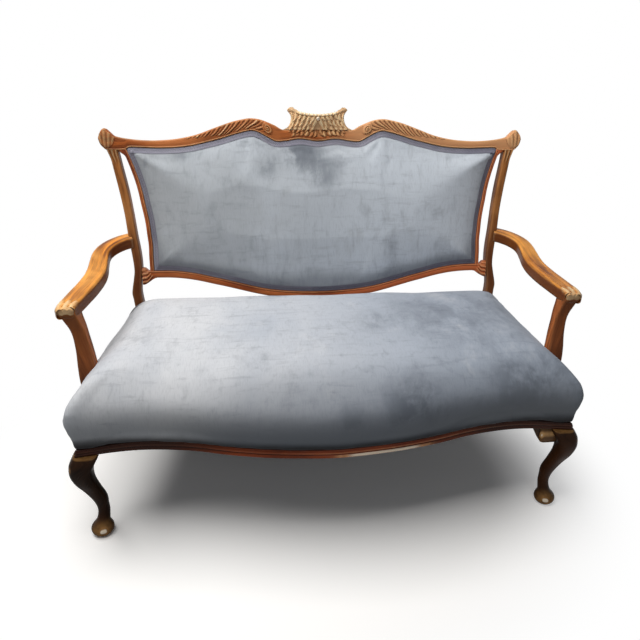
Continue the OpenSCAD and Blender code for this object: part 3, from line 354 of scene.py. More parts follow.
def smooth_shade(piece, degrees):
    only(piece)
    bpy.ops.object.shade_smooth_by_angle(angle=math.radians(degrees))


def copy_mirrored(piece, name):
    """The same piece for the other side, with its own mesh turned the right way out."""
    only(piece)
    bpy.ops.object.duplicate()
    twin = bpy.context.object
    twin.name = name
    twin.data.name = name
    twin.data.transform(Matrix.Scale(-1, 4, Vector((1, 0, 0))))
    face_out(twin)
    return twin


def mark_edges(piece, spread):
    """Keeps how far each point stands proud of the points round it: scuffed pale above, darker
    below.
    """
    mesh = piece.data
    count = len(mesh.vertices)
    co = points_of(piece)
    a, b = read(mesh.edges, "vertices", 2, np.int32).T
    length = np.linalg.norm(co[a] - co[b], axis=1) + 1e-9
    near = np.bincount(a, minlength=count) + np.bincount(b, minlength=count) + 1e-9
    total = np.zeros((count, 3))
    np.add.at(total, a, (co[b] - co[a]) / length[:, None])
    np.add.at(total, b, (co[a] - co[b]) / length[:, None])
    proud = -(total * normals_of(piece)).sum(axis=1) / near
    for _ in range(spread):
        around = np.bincount(a, proud[b], count) + np.bincount(b, proud[a], count)
        proud = (proud + around / near) / 2
    keep(piece, "edge", np.clip(proud * EDGE_GAIN, -1, 1))


def settle(piece, slot, material, *nodes):
    """The last steps of every piece: its finish, its body and the solids that it stands for."""
    piece.data.materials.clear()
    piece.data.materials.append(material)
    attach(piece, ROOT)
    if nodes:
        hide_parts(*nodes)
    return piece


def finish(piece, degrees, spread, slot, key, *nodes):
    """Shades a carved or shaped piece, marks its edges and settles it."""
    smooth_shade(piece, degrees)
    mark_edges(piece, spread)
    return settle(piece, slot, material(key), *nodes)


def finish_pair(piece, degrees, spread, slot, key, node):
    """Finishes a piece of the right-hand side, then makes its twin for the left."""
    finish(piece, degrees, spread, slot, key, node)
    twin = copy_mirrored(piece, piece.name.replace("right", "left"))
    settle(twin, slot, material(key), node.replace("right", "left"))


# ---------------------------------------------------------------- materials


def feed(tree, node, inputs):
    """Links each input to a socket, or sets it to a value."""
    for key, value in inputs.items():
        if isinstance(value, bpy.types.NodeSocket):
            tree.links.new(value, node.inputs[key])
        else:
            node.inputs[key].default_value = value
    return node


def add_node(tree, kind, inputs=None, **settings):
    made = tree.nodes.new(kind)
    for key, value in settings.items():
        setattr(made, key, value)
    return feed(tree, made, inputs or {})


def mix(tree, fac, a, b):
    a, b = (c if isinstance(c, bpy.types.NodeSocket) else tuple(c)[:3] + (1,) for c in (a, b))
    made = add_node(tree, "ShaderNodeMix", data_type="RGBA")
    return feed(tree, made, {0: fac, 6: a, 7: b}).outputs[2]


def math_node(tree, operation, a, b=0.0, clamp=False):
    return add_node(tree, "ShaderNodeMath", {0: a, 1: b}, operation=operation,
                    use_clamp=clamp).outputs[0]


def times(tree, a, b):
    return math_node(tree, "MULTIPLY", a, b)


def span(tree, value, low, high, to_low=0.0, to_high=1.0):
    return add_node(tree, "ShaderNodeMapRange", {0: value, 1: low, 2: high, 3: to_low, 4: to_high},
                    interpolation_type="SMOOTHSTEP").outputs[0]


def tint(tree, colour, *layers):
    """Lays tones over a colour: each has a value, the span over which it comes in, the most
    of it that shows and the tone itself."""
    for value, low, high, most, laid in layers:
        colour = mix(tree, span(tree, value, low, high, 0.0, most), colour, laid)
    return colour


def coords(tree, source):
    return add_node(tree, "ShaderNodeTexCoord").outputs[source]


def axes(tree, source):
    """The three parts of a place or a direction."""
    return add_node(tree, "ShaderNodeSeparateXYZ", {0: coords(tree, source)}).outputs


def place(tree, source, scale, location=(0, 0, 0), rotation=(0, 0, 0)):
    return add_node(tree, "ShaderNodeMapping", {"Vector": coords(tree, source), "Scale": scale,
                    "Location": location, "Rotation": rotation}).outputs[0]


def clouds(tree, stretch, scale=1.0, detail=4.0, rough=0.5, distortion=0.0, source="Object",
           rotation=(0, 0, 0)):
    return add_node(tree, "ShaderNodeTexNoise", {
        "Vector": place(tree, source, stretch, rotation=rotation), "Scale": scale,
        "Detail": detail, "Roughness": rough, "Distortion": distortion}).outputs[0]


def attribute(tree, name):
    return add_node(tree, "ShaderNodeAttribute", attribute_name=name).outputs["Fac"]


def new_material(name):
    material = bpy.data.materials.new(name)
    material.use_nodes = True
    tree = material.node_tree
    return material, tree, tree.nodes["Principled BSDF"]


def surface(tree, shader, colour, rough, height, strength, deep=0.001, more=None):
    """Joins a colour, a roughness and a bump to a shader, and sets what more there is."""
    bump = add_node(tree, "ShaderNodeBump", {"Height": height, "Strength": strength,
                    "Distance": deep})
    feed(tree, shader, {"Base Color": colour, "Roughness": rough, "Normal": bump.outputs[0],
                        **(more or {})})


def linear(r, g, b):
    """A colour from display values of 0 to 255."""
    def one(c):
        c /= 255
        return c / 12.92 if c <= 0.04045 else ((c + 0.055) / 1.055) ** 2.4
    return (one(r), one(g), one(b))


def tone(colour):
    """A colour from its display values, or from the setting that it names."""
    if not isinstance(colour, str):
        return linear(*colour)
    scene = bpy.context.scene
    group = scene.settee_cloth if colour.endswith("pile") else scene.settee_wood
    return tuple(getattr(group, colour))


EVEN = (1, 1, 1)
GLINT = (248, 234, 212)


def varnished(name, base, dark, light, gold, grain=(60, 5, 1), rough=0.36, specular=0.12,
              gold_amount=0.9, edge_rub=0.7, hollow_darkening=0.85, side_shade=0.0, outer_shade=0.0,
              low_shade=None, end_shade=None, painted_light_right=None):
    """Varnished hardwood: grain along the piece, darker hollows, pale edges, painted light and
    shade.
    """
    material, tree, shader = new_material(name)
    base, dark, light, gold = (tone(c) for c in (base, dark, light, gold))
    streaks = clouds(tree, grain, 1.0, 6.0, 0.6, 0.35, "UV")
    fine = clouds(tree, [g * 5 for g in grain], 1.0, 3.0, 0.7, 0.0, "UV")
    pores = clouds(tree, [g * 9 for g in grain], 1.0, 2.0, 0.6, 0.0, "UV")
    drift = clouds(tree, EVEN, 5.0, 3.0, 0.5, 0.4)
    x, _, z = axes(tree, "Object")
    way = axes(tree, "Normal")
    colour = tint(tree, dark, (streaks, 0.36, 0.66, 1.0, base), (drift, 0.38, 0.72, 1.0, light),
                  (fine, 0.5, 0.75, 0.35, dark))
    # Painted light: paler on the right-hand side, where more light fell.
    if painted_light_right:
        colour = tint(tree, colour, (x, 0.0, 0.16, 0.75, linear(*painted_light_right)))
    if low_shade:
        high, low, shade = low_shade
        colour = tint(tree, colour, (z, high, low, 0.75, linear(*shade)))
    if end_shade:
        out = math_node(tree, "ABSOLUTE", x)
        colour = tint(tree, colour, (out, 0.16, 0.42, 0.85, linear(*end_shade)))
    if side_shade:
        colour = tint(tree, colour, (way[2], 0.8, 0.35, side_shade, dark))
    if outer_shade:
        out = times(tree, math_node(tree, "SIGN", x), way[0])
        out = math_node(tree, "MAXIMUM", out, times(tree, way[1], -0.8))
        colour = tint(tree, colour, (out, 0.1, 0.75, outer_shade, dark))
    relief = attribute(tree, "relief")
    edge = attribute(tree, "edge")
    # Darker in hollows and on concave edges; on the moulding this is painted shadow under the
    # velvet.
    hollow = math_node(tree, "MAXIMUM", span(tree, relief, -0.05, -0.8),
                       span(tree, edge, -0.08, -0.5))
    colour = mix(tree, times(tree, hollow, hollow_darkening), colour, tuple(c * 0.45 for c in dark))
    patchy = span(tree, clouds(tree, EVEN, 60.0, 3.0), 0.3, 0.6, 0.55, 1.0)
    # Paler where the edges or the marks stand proud: scuffed edges, and painted highlights from
    # the marks; marks above 1.15 become a painted glint.
    proud = math_node(tree, "MAXIMUM", span(tree, relief, 0.15, 0.95),
                      span(tree, edge, 0.12, 0.6, 0.0, edge_rub))
    proud = times(tree, proud, patchy)
    colour = mix(tree, times(tree, proud, gold_amount), colour, gold)
    colour = tint(tree, colour, (relief, 1.15, 1.7, 0.9, linear(*GLINT)))
    surface(tree, shader, colour, span(tree, fine, 0.3, 0.8, rough - 0.06, rough + 0.12),
            math_node(tree, "ADD", times(tree, pores, 0.6), streaks), 0.12,
            more={"Specular IOR Level": specular})
    return material


def velvet(name, light, mid, dark, drift, painted_shade, smudges=(), rim_tone=(34, 32, 32),
           rim_most=0.95):
    """Worn pile: soft clouds where the nap lies over, smudges, a fine pile, painted light and
    shade.
    """
    material, tree, shader = new_material(name)
    light, mid, dark = (tone(c) for c in (light, mid, dark))
    big = clouds(tree, (1.2, 0.8, 1.2), 3.0, 3.0, 0.5, 0.2)
    marks = clouds(tree, (1.5, 1.0, 1.0), 8.0, 6.0, 0.64, 0.25, rotation=(0.2, 0.3, 0.25))
    brushed = clouds(tree, (50, 36, 9), 1.0, 5.0, 0.6, 0.6)
    threads = clouds(tree, (420, 60, 60), 1.0, 2.0, 0.6)
    weft = clouds(tree, (11, 60, 60), 1.0, 5.0, 0.65, 0.3)
    pile = clouds(tree, EVEN, 900.0, 2.0, 0.6)
    x, y, z = axes(tree, "Object")
    # Painted light: paler to the left, drifting to the middle tone towards the right.
    colour = tint(tree, light, (x, -0.5, 0.42, drift, mid), (big, 0.42, 0.7, 0.45, mid),
                  (marks, 0.54, 0.74, 0.26, dark), (marks, 0.44, 0.28, 0.35, light),
                  (brushed, 0.5, 0.85, 0.3, dark), (threads, 0.45, 0.8, 0.16, dark),
                  (weft, 0.5, 0.8, 0.28, dark))
    for middle, size, amount in smudges:
        far = add_node(tree, "ShaderNodeVectorMath", {0: coords(tree, "Object"), 1: middle},
                       operation="DISTANCE").outputs["Value"]
        near = span(tree, far, size, size * 0.25, 0.0, amount)
        near = times(tree, near, span(tree, marks, 0.4, 0.58, 0.25, 1.0))
        colour = mix(tree, near, colour, dark)
    # Painted shade: faces turned down, least on the left; a dark band at the foot; the front; and
    # a band along the rear edge.
    turned = math_node(tree, "MULTIPLY", span(tree, axes(tree, "Normal")[2], 0.95, 0.35),
                       span(tree, z, 0.43, 0.32, 0.15, 1.0), True)
    turned = times(tree, turned, span(tree, x, -0.5, -0.2, 0.7, 1.0))
    front = times(tree, span(tree, y, -0.2, -0.36, 0.0, 0.5),
                  span(tree, x, -0.42, -0.2, 0.2, 1.0))
    for where, shade in ((turned, linear(112, 116, 120)),
                         (span(tree, z, 0.322, 0.3, 0.0, 0.75), linear(38, 36, 36)),
                         (front, dark),
                         (span(tree, y, 0.165, 0.22, 0.0, 0.5), linear(122, 122, 124))):
        colour = mix(tree, times(tree, where, painted_shade), colour, shade)
    # Painted shade along the rim: at the foot of the seat, in its crease against the back, and
    # beside the braid on the inside back.
    rim = math_node(tree, "ADD", attribute(tree, "rim"), times(tree, marks, 0.5))
    colour = tint(tree, colour, (rim, 0.3, 1.2, rim_most, linear(*rim_tone)))
    surface(tree, shader, colour, 0.85,
            math_node(tree, "ADD", times(tree, pile, 0.5), brushed), 0.14, 0.0015,
            {"Specular IOR Level": 0.15, "Sheen Weight": 0.15, "Sheen Roughness": 0.45,
             "Sheen Tint": (0.85, 0.9, 1.0, 1)})
    return material


def plain_cloth(name, base, other, scale=700.0):
    material, tree, shader = new_material(name)
    base, other = tone(base), tone(other)
    weft, warp = (add_node(tree, "ShaderNodeTexWave", {
        "Vector": place(tree, "Object", EVEN), "Scale": scale, "Distortion": 1.2,
        "Detail": 2.0}, bands_direction=way).outputs[1] for way in "XY")
    weave = times(tree, weft, warp)
    colour = tint(tree, base, (clouds(tree, EVEN, 9.0), 0.35, 0.65, 1.0, other))
    colour = mix(tree, times(tree, weave, 0.35), colour, tuple(c * 0.5 for c in base))
    surface(tree, shader, colour, 0.9, weave, 0.3)
    return material


def gimp(name, base, dark, light):
    """Woven braid: the relief of its cords is in the mesh, and the thread is in the bump."""
    material, tree, shader = new_material(name)
    thread = clouds(tree, (900, 380, 1), 1.0, 3.0, 0.7, 0.0, "UV")
    colour = tint(tree, tone(base), (clouds(tree, EVEN, 11.0), 0.35, 0.65, 1.0, tone(light)),
                  (attribute(tree, "relief"), 0.1, -0.8, 0.8, tone(dark)),
                  (thread, 0.45, 0.7, 0.4, tone(dark)))
    surface(tree, shader, colour, 0.8, thread, 0.35, more={"Sheen Weight": 0.2})
    return material


def sawn(name, base, dark):
    material, tree, shader = new_material(name)
    streaks = clouds(tree, (4, 60, 60), 1.0, 5.0, 0.6, 0.4)
    colour = tint(tree, tone(base), (streaks, 0.35, 0.65, 1.0, tone(dark)))
    surface(tree, shader, colour, 0.75, streaks, 0.3)
    return material


def metal(name, base):
    material, tree, shader = new_material(name)
    base = tone(base)
    stain = clouds(tree, EVEN, 120.0)
    colour = tint(tree, base, (stain, 0.4, 0.7, 1.0, tuple(c * 0.4 for c in base)))
    feed(tree, shader, {"Base Color": colour, "Roughness": span(tree, stain, 0.3, 0.8, 0.3, 0.6),
                        "Metallic": 1.0})
    return material


# Places, widths and strengths of the smudges on the velvet
SEAT_SMUDGES = (((0.19, -0.33, 0.37), 0.13, 0.85), ((0.03, -0.33, 0.36), 0.07, 0.7),
                ((0.5, -0.26, 0.36), 0.2, 0.7), ((0.36, -0.02, 0.46), 0.26, 0.4),
                ((-0.13, 0.16, 0.47), 0.05, 0.5), ((0.12, -0.05, 0.48), 0.09, 0.3))
BACK_SMUDGES = (((-0.06, 0.29, 0.87), 0.11, 0.7), ((0.01, 0.27, 0.8), 0.07, 0.55),
                ((-0.15, 0.27, 0.82), 0.05, 0.5), ((-0.37, 0.3, 0.87), 0.07, 0.5))
# How each finish is made: by which function, under what name and from which tones. A varnish
# has a main, a dark, a light and a pale tone, for scuffed edges and painted highlights, and then
# what else sets it off.
FINISHES = {
    "crest": (varnished, "crest varnish", "crest_colour", (112, 58, 28), (190, 114, 64),
              (222, 184, 132), dict(rough=0.45, edge_rub=0.5, painted_light_right=(232, 172, 122))),
    "post": (varnished, "post varnish", (174, 112, 60), (104, 60, 30), (184, 124, 70),
             "rubbed_colour", dict(specular=0.08, gold_amount=0.4, edge_rub=0.3,
                                   low_shade=(0.72, 0.52, (98, 52, 30)))),
    "red": (varnished, "rail varnish", (174, 90, 42), (116, 52, 23), (194, 112, 62),
            (230, 172, 120), dict(specular=0.15, gold_amount=0.6, edge_rub=0.4,
                                  painted_light_right=(210, 112, 66))),
    "arm": (varnished, "arm varnish", (232, 146, 54), (104, 54, 27), (250, 176, 84),
            "rubbed_colour", dict(grain=(70, 4, 1), side_shade=0.92, specular=0.1,
                                  gold_amount=0.85, edge_rub=0.15)),
    "support": (varnished, "support varnish", (190, 110, 60), (92, 52, 32), (194, 118, 64),
                (204, 150, 96), dict(grain=(60, 4, 1), specular=0.06, gold_amount=0.4,
                                     edge_rub=0.3, outer_shade=0.7)),
    "leg": (varnished, "leg varnish", "dark_colour", (27, 15, 8), (66, 38, 20), (178, 132, 78),
            dict(grain=(50, 5, 1), rough=0.2, specular=0.05, gold_amount=0.7, edge_rub=0.12)),
    "moulding": (varnished, "moulding varnish", (130, 58, 30), (64, 27, 14), (158, 74, 38),
                 (226, 170, 124), dict(grain=(60, 4, 1), rough=0.25, specular=0.1,
                                       gold_amount=0.75, edge_rub=0.0, end_shade=(40, 20, 12))),
    "carved": (varnished, "carved gilt brown", (240, 196, 150), (210, 160, 114),
               (248, 212, 166), "rubbed_colour", dict(grain=(60, 12, 1), rough=0.5,
                                                      edge_rub=0.4, hollow_darkening=0.36)),
    "bracket": (varnished, "bracket varnish", (92, 60, 33), (46, 27, 15), (120, 86, 48),
                (200, 156, 104), dict(grain=(40, 6, 1), rough=0.3, specular=0.1)),
    "velvet_seat": (velvet, "seat velvet", "light_pile", "mid_pile", "dark_pile", 0.9, 1.0,
                    SEAT_SMUDGES),
    "velvet_back": (velvet, "back velvet", (173, 178, 183), (216, 224, 234), "dark_pile", 0.9,
                    0.0, BACK_SMUDGES, (62, 66, 76), 0.5),
    "velvet_out": (velvet, "outside velvet", (150, 156, 166), (126, 134, 146), "dark_pile", 0.5,
                   0.0),
    "braid": (gimp, "grey braid", (122, 121, 136), (76, 75, 90), (144, 143, 156)),
    "frame": (sawn, "sawn beech", (190, 152, 108), (150, 112, 74)),
    "hessian": (plain_cloth, "jute", (176, 146, 100), (150, 120, 80)),
    "black": (plain_cloth, "black lining", (34, 33, 36), (46, 44, 46), 1400.0),
    "steel": (metal, "spring steel", (150, 150, 152)),
}
MATERIALS = {}


def material(key):
    """Each finish is made once, the first time that a piece asks for it."""
    if key not in MATERIALS:
        make, *words = FINISHES[key]
        settings = words.pop() if isinstance(words[-1], dict) else {}
        MATERIALS[key] = make(*words, **settings)
    return MATERIALS[key]


# ---------------------------------------------------------------- show-wood members

FACE_FROM = 5.4
FACE_SOFT = 4.5
LIP, NO_LIP = 8.0, 0.2


def member(edge, far, lip, face_relief=None, depth=FRAME_T, ease=1.0):
    """Section of a show-wood member, from its cock bead over its face to the lip behind.
    face_relief gives how far carving stands off the face at a share of the way across it."""
    s = 1 if far > edge else -1
    soft = min(FACE_SOFT, abs(far - edge) / 3) * ease
    points = [(edge, 9.0, 0), (edge, 5.5, 0), (edge, 3.0, 0.2), (edge + s * 0.5, 1.4, 0.5),
              (edge + s * 1.4, 0.3, 0.6), (edge + s * 2.3, 0.0, 0.6), (edge + s * 3.2, 0.3, 0.5),
              (edge + s * 4.0, 0.9, 0.2), (edge + s * 4.6, 1.5, -0.1)]
    low, high, count = edge + s * FACE_FROM, far - s * soft, 22
    for i in range(count + 1):
        u = i / count
        rise, mark = face_relief(u) if face_relief else (0.0, 0.0)
        points.append((low + (high - low) * u, 1.5 - 0.7 * math.sin(math.pi * u) - rise, mark))
    points += [(far - s * soft * 0.5, 1.5 + 0.6 * ease, 0),
               (far - s * soft * 0.15, 1.6 + 2.0 * ease, 0), (far, 6, 0),
               (far, 10, 0), (far, 15, 0), (far, 20, 0), (far - s * 0.6, depth - 2.4, 0),
               (far - s * 2.2, depth - 0.6, 0), (far - s * 4, depth, 0),
               ((edge + far) / 2, depth, 0), (edge - s * lip, depth, 0),
               (edge - s * lip, 22, 0), (edge - s * lip, 15, 0), (edge - s * lip / 2, 15, 0),
               (edge, 15, 0), (edge, 12, 0)]
    return points


def swept_member(name, stations, edge_of, far_of, lip_of, relief_of=None):
    rings = []
    for x in stations:
        carve = (lambda u, x=x: relief_of(x, u)) if relief_of else None
        ease = 0.06 + 0.94 * step(62, 86, abs(x)) if relief_of else 1.0
        plain = step(560, 585, abs(x)) if relief_of else 0.0
        section = member(edge_of(x), far_of(x), lip_of(x), carve, ease=ease)
        rings.append([(x, y, h, m * (1 - plain) if k < 9 else m)
                      for k, (h, y, m) in enumerate(section)])
    return skin(name, rings, on_back)


# Carving of the crest: leaf lobes over each hump, scrolls at their inner ends and at the ears
LOBE_PITCH = 14.0
LOBE_SLANT = 34.0
LOBES_FROM = 142.0
LOBES_TO = 392.0
SCROLL_X = 146.0
EAR_KNOB = (600.0, 494.0)


def spiral(dx, dy, radius, pitch):
    """Height of a rolled scroll round a point, and its mark."""
    r = math.hypot(dx, dy)
    if r > radius:
        return 0.0, 0.0
    turn = math.atan2(dy, dx) / (2 * math.pi)
    wave = 0.5 + 0.5 * math.cos(2 * math.pi * (r / pitch - turn))
    body = 1 - step(radius * 0.8, radius, r)
    eye = 1 - step(radius * 0.12, radius * 0.3, r)
    height = body * (0.55 + 0.45 * wave) + 0.5 * eye
    return height, (wave * 1.6 - 0.75) * body


def crest_relief(x, u):
    """Height in millimetres, and mark, of the carving on the crest's face."""
    depth = bpy.context.scene.settee_wood.carving_depth / MM
    ax = abs(x)
    low, high = crest_low(x) + FACE_FROM, crest_top(x) - FACE_SOFT
    v = low + (high - low) * u
    height, mark = 0.0, 0.0
    if LOBES_FROM < ax < LOBES_TO + LOBE_SLANT:
        phase = (ax - LOBE_SLANT * (1 - u) ** 1.5) / LOBE_PITCH
        turn = math.floor(phase)
        f = phase - turn
        bold = (1.0, 0.45, 0.8, 0.35, 0.95, 0.6)[int(turn) % 6]
        lobe = (1 - abs(2 * f - 1) ** 1.7) * bold
        # Each lobe's ridge gets a painted highlight to one side, full on the right-hand hump and
        # dimmer on the left, where less light fell; its hollows are darker.
        ridge = hill(f, 0.55, 0.17) * bold
        painted_highlight = 1.0 if x > 0 else 0.3 + 0.75 * (turn % 3 == 0)
        foot = step(250, LOBES_TO, ax) * 0.92
        inside = step(foot - 0.02, foot + 0.12, u) * step(LOBES_FROM, LOBES_FROM + 14, ax)
        inside *= 1 - step(LOBES_TO - 12, LOBES_TO + 6, ax)
        height = depth * (lobe * 1.1 - 0.3) * inside
        mark = (1.5 * ridge * painted_highlight - 0.75 * (1 - lobe)) * inside
    rise, rolled = spiral(ax - SCROLL_X, v - (low + high) / 2 - 3, 15.0, 6.5)
    if rise:
        height, mark = depth * rise * 1.1, rolled * 0.8 + 0.2
    dx, dv = ax - EAR_KNOB[0], v - EAR_KNOB[1]
    dome = math.sqrt(max(0.0, 1 - (dx / 27) ** 2 - (dv / 34) ** 2))
    if dome:
        flute = math.cos(2 * math.pi * dx * (1 - dv / 90) / 12.5)
        height = depth * (1.5 * dome + 0.4 * flute * dome)
        mark = (0.46 + 0.16 * flute) * step(0.0, 0.25, dome)
    if ax < 96:
        rise, leaf = shell_relief(x, v)
        fade = step(0.08, 0.3, u) * (1 - step(66, 90, ax))
        leaf = max(leaf, 0.42)
        height, mark = rise * fade, leaf * fade
    return height, mark


# Carving of the cartouche: rows of leaves that fan down from a pearl, under a scalloped edge
PEARL = (0.0, PANEL_H + CREST_H + HUMP_H * 0.5 + 29.5)
SCALLOP = 11.0


def make_leaves():
    """Curved leaves in rows, no two alike: root, way to the tip, bend, half width, and wear and
    painted highlight.
    """
    dice = random.Random(7)
    out = []
    for side in (-1, 1):
        for top, shift, count in ((16, 13, 6), (0, 7, 6), (-17, 13, 6), (-35, 7, 6)):
            for k in range(count):
                x = shift + 12.8 * k + dice.uniform(-1.5, 1.5)
                v = top + dice.uniform(-3.0, 3.0)
                long = dice.uniform(19, 26) if top > -30 else 15
                lean = dice.uniform(0.35, 0.6) + (0.03 * k if top < 0 else -0.1)
                out.append((side * x, v, side * long * lean, -long, side * dice.uniform(2.5, 4.5),
                            dice.uniform(4.2, 6.0), dice.uniform(0.45, 1.25)))
        out.append((side * 2.0, -7.0, side * 13.0, -21.0, -side * 2.0, 4.2, 1.15))
    return out


LEAVES = make_leaves()


def leaf_at(x, dv):
    """The highest of the leaves over a place: its height, and how near its lit ridge is."""
    best, lit = 0.0, 0.0
    for ax, av, dx, dy, bend, wide, wear_and_highlight in LEAVES:
        u = ((x - ax) * dx + (dv - av) * dy) / (dx * dx + dy * dy)
        if not 0 < u < 1:
            continue
        long = math.hypot(dx, dy)
        off = ((x - ax) * -dy + (dv - av) * dx) / long + bend * 4 * u * (1 - u)
        across = off / (wide * math.sin(math.pi * u ** 0.75) ** 0.6)
        if abs(across) < 1:
            rise = (1 - across * across) ** 0.6 * (0.6 + 0.6 * u)
            if rise > best:
                best = rise
                # Painted highlight along the leaf's ridge, with its wear.
                lit = wear_and_highlight * hill(across, 0, 0.45) * math.sin(math.pi * u) ** 0.4
    return best, lit


def shell_relief(x, v, s=0.0, half=0.0):
    """Height and mark at a place of the back, s up the cartouche, half of its half width."""
    depth = bpy.context.scene.settee_wood.carving_depth / MM
    far, dv = abs(x), v - PEARL[1]
    # Painted light: the marks on the right-hand half are stronger than on the left.
    side = 1.0 if x > 0 else 0.75
    rise, lit = leaf_at(x, dv)
    best = rise * 1.5 - 0.5
    mark = 1.3 * lit * side - (0.7 if dv > -24 else 0.4) * (1 - min(1.0, rise * 1.8))
    if s:
        # Painted glint along the crests of the scalloped lip.
        top = step(0.84, 0.88, s) * (1 - step(0.62, 0.72, far / half))
        g = x / SCALLOP - math.floor(x / SCALLOP)
        ruff = 1 - abs(2 * g - 1) ** 2.5
        best = best * (1 - top) + (0.4 + 0.6 * ruff) * top
        mark = mark * (1 - top) + (1.9 * ruff - 0.3) * top
        best -= 0.6 * (1 - step(0.0, 0.03, abs(s - 0.83)))
        # A raised rim down each flank, with a painted highlight.
        rim = step(0.9, 0.96, far / half) * (1 - step(0.62, 0.7, s)) * step(0.1, 0.3, s)
        best, mark = best * (1 - rim) + 0.7 * rim, mark * (1 - rim) + 1.0 * side * rim
    # The pearl glints white, a painted highlight, in a darker ring.
    pearl = math.sqrt(max(0.0, 1 - (far ** 2 + dv ** 2) / 32.0))
    ring = step(5.6, 7.0, math.hypot(far, dv))
    moat = (1 - ring) * (1 - step(0.0, 0.2, pearl))
    best = best * ring + 1.5 * pearl - 0.4 * moat
    mark = mark * ring + 1.9 * step(0.1, 0.4, pearl) - 0.5 * moat
    return depth * best, max(-1.0, min(1.8, mark))


SHELL = [(0, 1.26), (0.1, 1.12), (0.25, 1.03), (0.45, 0.98), (0.68, 0.98), (0.82, 1.04),
         (0.93, 1.1), (1, 1.04)]
SHELL_DIP = 17.0
SHELL_BULGE = 12.0


def make_cartouche():
    """The block on the neck of the crest, carved over its front and its top edge."""
    across, levels = 130, 62
    rings = []
    for j in range(levels + 1):
        s = j / levels
        half = SHELL_W / 2 * smooth(SHELL, s)
        ring = []
        for i in range(across + 1):
            u = 2 * i / across - 1
            scallop = 2.2 * s ** 6 * abs(math.sin(math.pi * u * half / SCALLOP))
            v = (crest_top(0) + s * SHELL_H - s * SHELL_DIP * (1 - u * u) - 2.0 * s + scallop)
            v += s ** 6 * (6.0 * step(0.62, 0.9, abs(u)) - 5.0 * step(0.94, 1.0, abs(u)))
            front = -SHELL_BULGE * (1 - u * u) * step(-0.1, 0.9, s)
            rise, leaf = shell_relief(u * half, v, max(s, 0.01), half)
            soft = 3.0 * step(0.93, 1.0, s) + 2.0 * step(0.96, 1.0, abs(u))
            ring.append((u * half, front + 1.2 - rise * (1 - step(0.97, 1.0, abs(u))) + soft, v,
                         leaf))
        back = FRAME_T * (1 - 0.25 * s) - 1.5 * step(0.9, 1.0, s)
        level = crest_top(0) + s * SHELL_H
        side = [(half + 0.6 * math.sin(math.pi * k / 8), 4 + (back - 5) * k / 8, level, 0.0)
                for k in range(1, 8)]
        ring += side
        for i in range(across + 1):
            u = 1 - 2 * i / across
            ring.append((u * half, back, level - s * SHELL_DIP * (1 - u * u) - 2.0 * s, -0.2))
        rings.append(ring + [(-x, y, v, 0.0) for x, y, v, _ in reversed(side)])
    lip = [(x, 0.4 * FRAME_T, v, 0.3) for x, _, v, _ in ring[:across + 1]]
    rings.append(lip + [lip[-1]] * 7 + lip[::-1] + [lip[0]] * 7)
    return skin("cartouche", rings, on_back)


def lip_to(half):
    """The lip behind a rail, which stops short of its ends."""
    return lambda x: LIP if abs(x) < 0.83 * half else NO_LIP


def make_crest():
    count = 520
    stations = [EAR_X * 0.998 * (2 * i / count - 1) for i in range(count + 1)]
    return swept_member("crest", stations, crest_low, crest_top, lip_to(EAR_X), crest_relief)


def make_lower_rail():
    count = 260
    stations = [LOW_RAIL_X * (1 - 2 * i / count) for i in range(count + 1)]
    return swept_member("lower_rail", stations, low_top, lambda x: low_top(x) - LOW_H,
                        lip_to(LOW_RAIL_X))


def make_stile(side):
    """A narrow stile beside the panel, from the lower rail to the crest."""
    count = 90
    rings = []
    for i in range(count + 1):
        s = i / count
        section = member(stile_out(s) - STILE_W, stile_out(s) + 11.6 * step(0.93, 0.985, s) ** 1.5,
                         NO_LIP if s < 0.05 or s > 0.93 else LIP)
        v = LOW_RAIL_V - 2 + s * (CREST_SEAT_V + 6 - LOW_RAIL_V)
        rings.append([(h, y, v, m) for h, y, m in section])
    piece = skin("right_stile", rings, on_back)
    if side > 0:
        return piece
    twin = copy_mirrored(piece, "left_stile")
    bpy.data.objects.remove(piece)
    return twin


def make_rail_brackets():
    """Carved leaves at the ends of the lower rail, which run down into ogee brackets."""
    rings = []
    for i in range(61):
        far = 1 - i / 60
        x = LOW_RAIL_X - 42 * far
        top = low_top(x) - 6 + 15 * (1 - step(0.1, 0.6, far))
        low = low_top(x) - LOW_H - 20 * (1 - step(0.02, 1.0, far))
        swell = 1 - step(0.45, 1.0, far)
        ring = []
        for k in range(37):
            t = k / 36
            v = low + (top - low) * t
            dome = arch(2 * t - 1)
            flute = math.cos(2 * math.pi * (v - 0.7 * (LOW_RAIL_X - x) + 3 * math.sin(x / 5)) / 12)
            ring.append((x, 3.4 - swell * (4.0 * dome ** 0.6 + 1.4 * flute * dome), v,
                         (0.35 + 0.9 * flute) * swell * step(0.0, 0.4, dome) - 0.3 * (1 - dome)))
        rings.append(ring + [(x, FRAME_T - 3.0, v, 0.0) for v in (top, (top + low) / 2, low)])
    right = skin("rail_brackets", rings, on_back)
    left = copy_mirrored(right, "left_rail_bracket")
    only(right)
    left.select_set(True)
    bpy.ops.object.join()
    return right


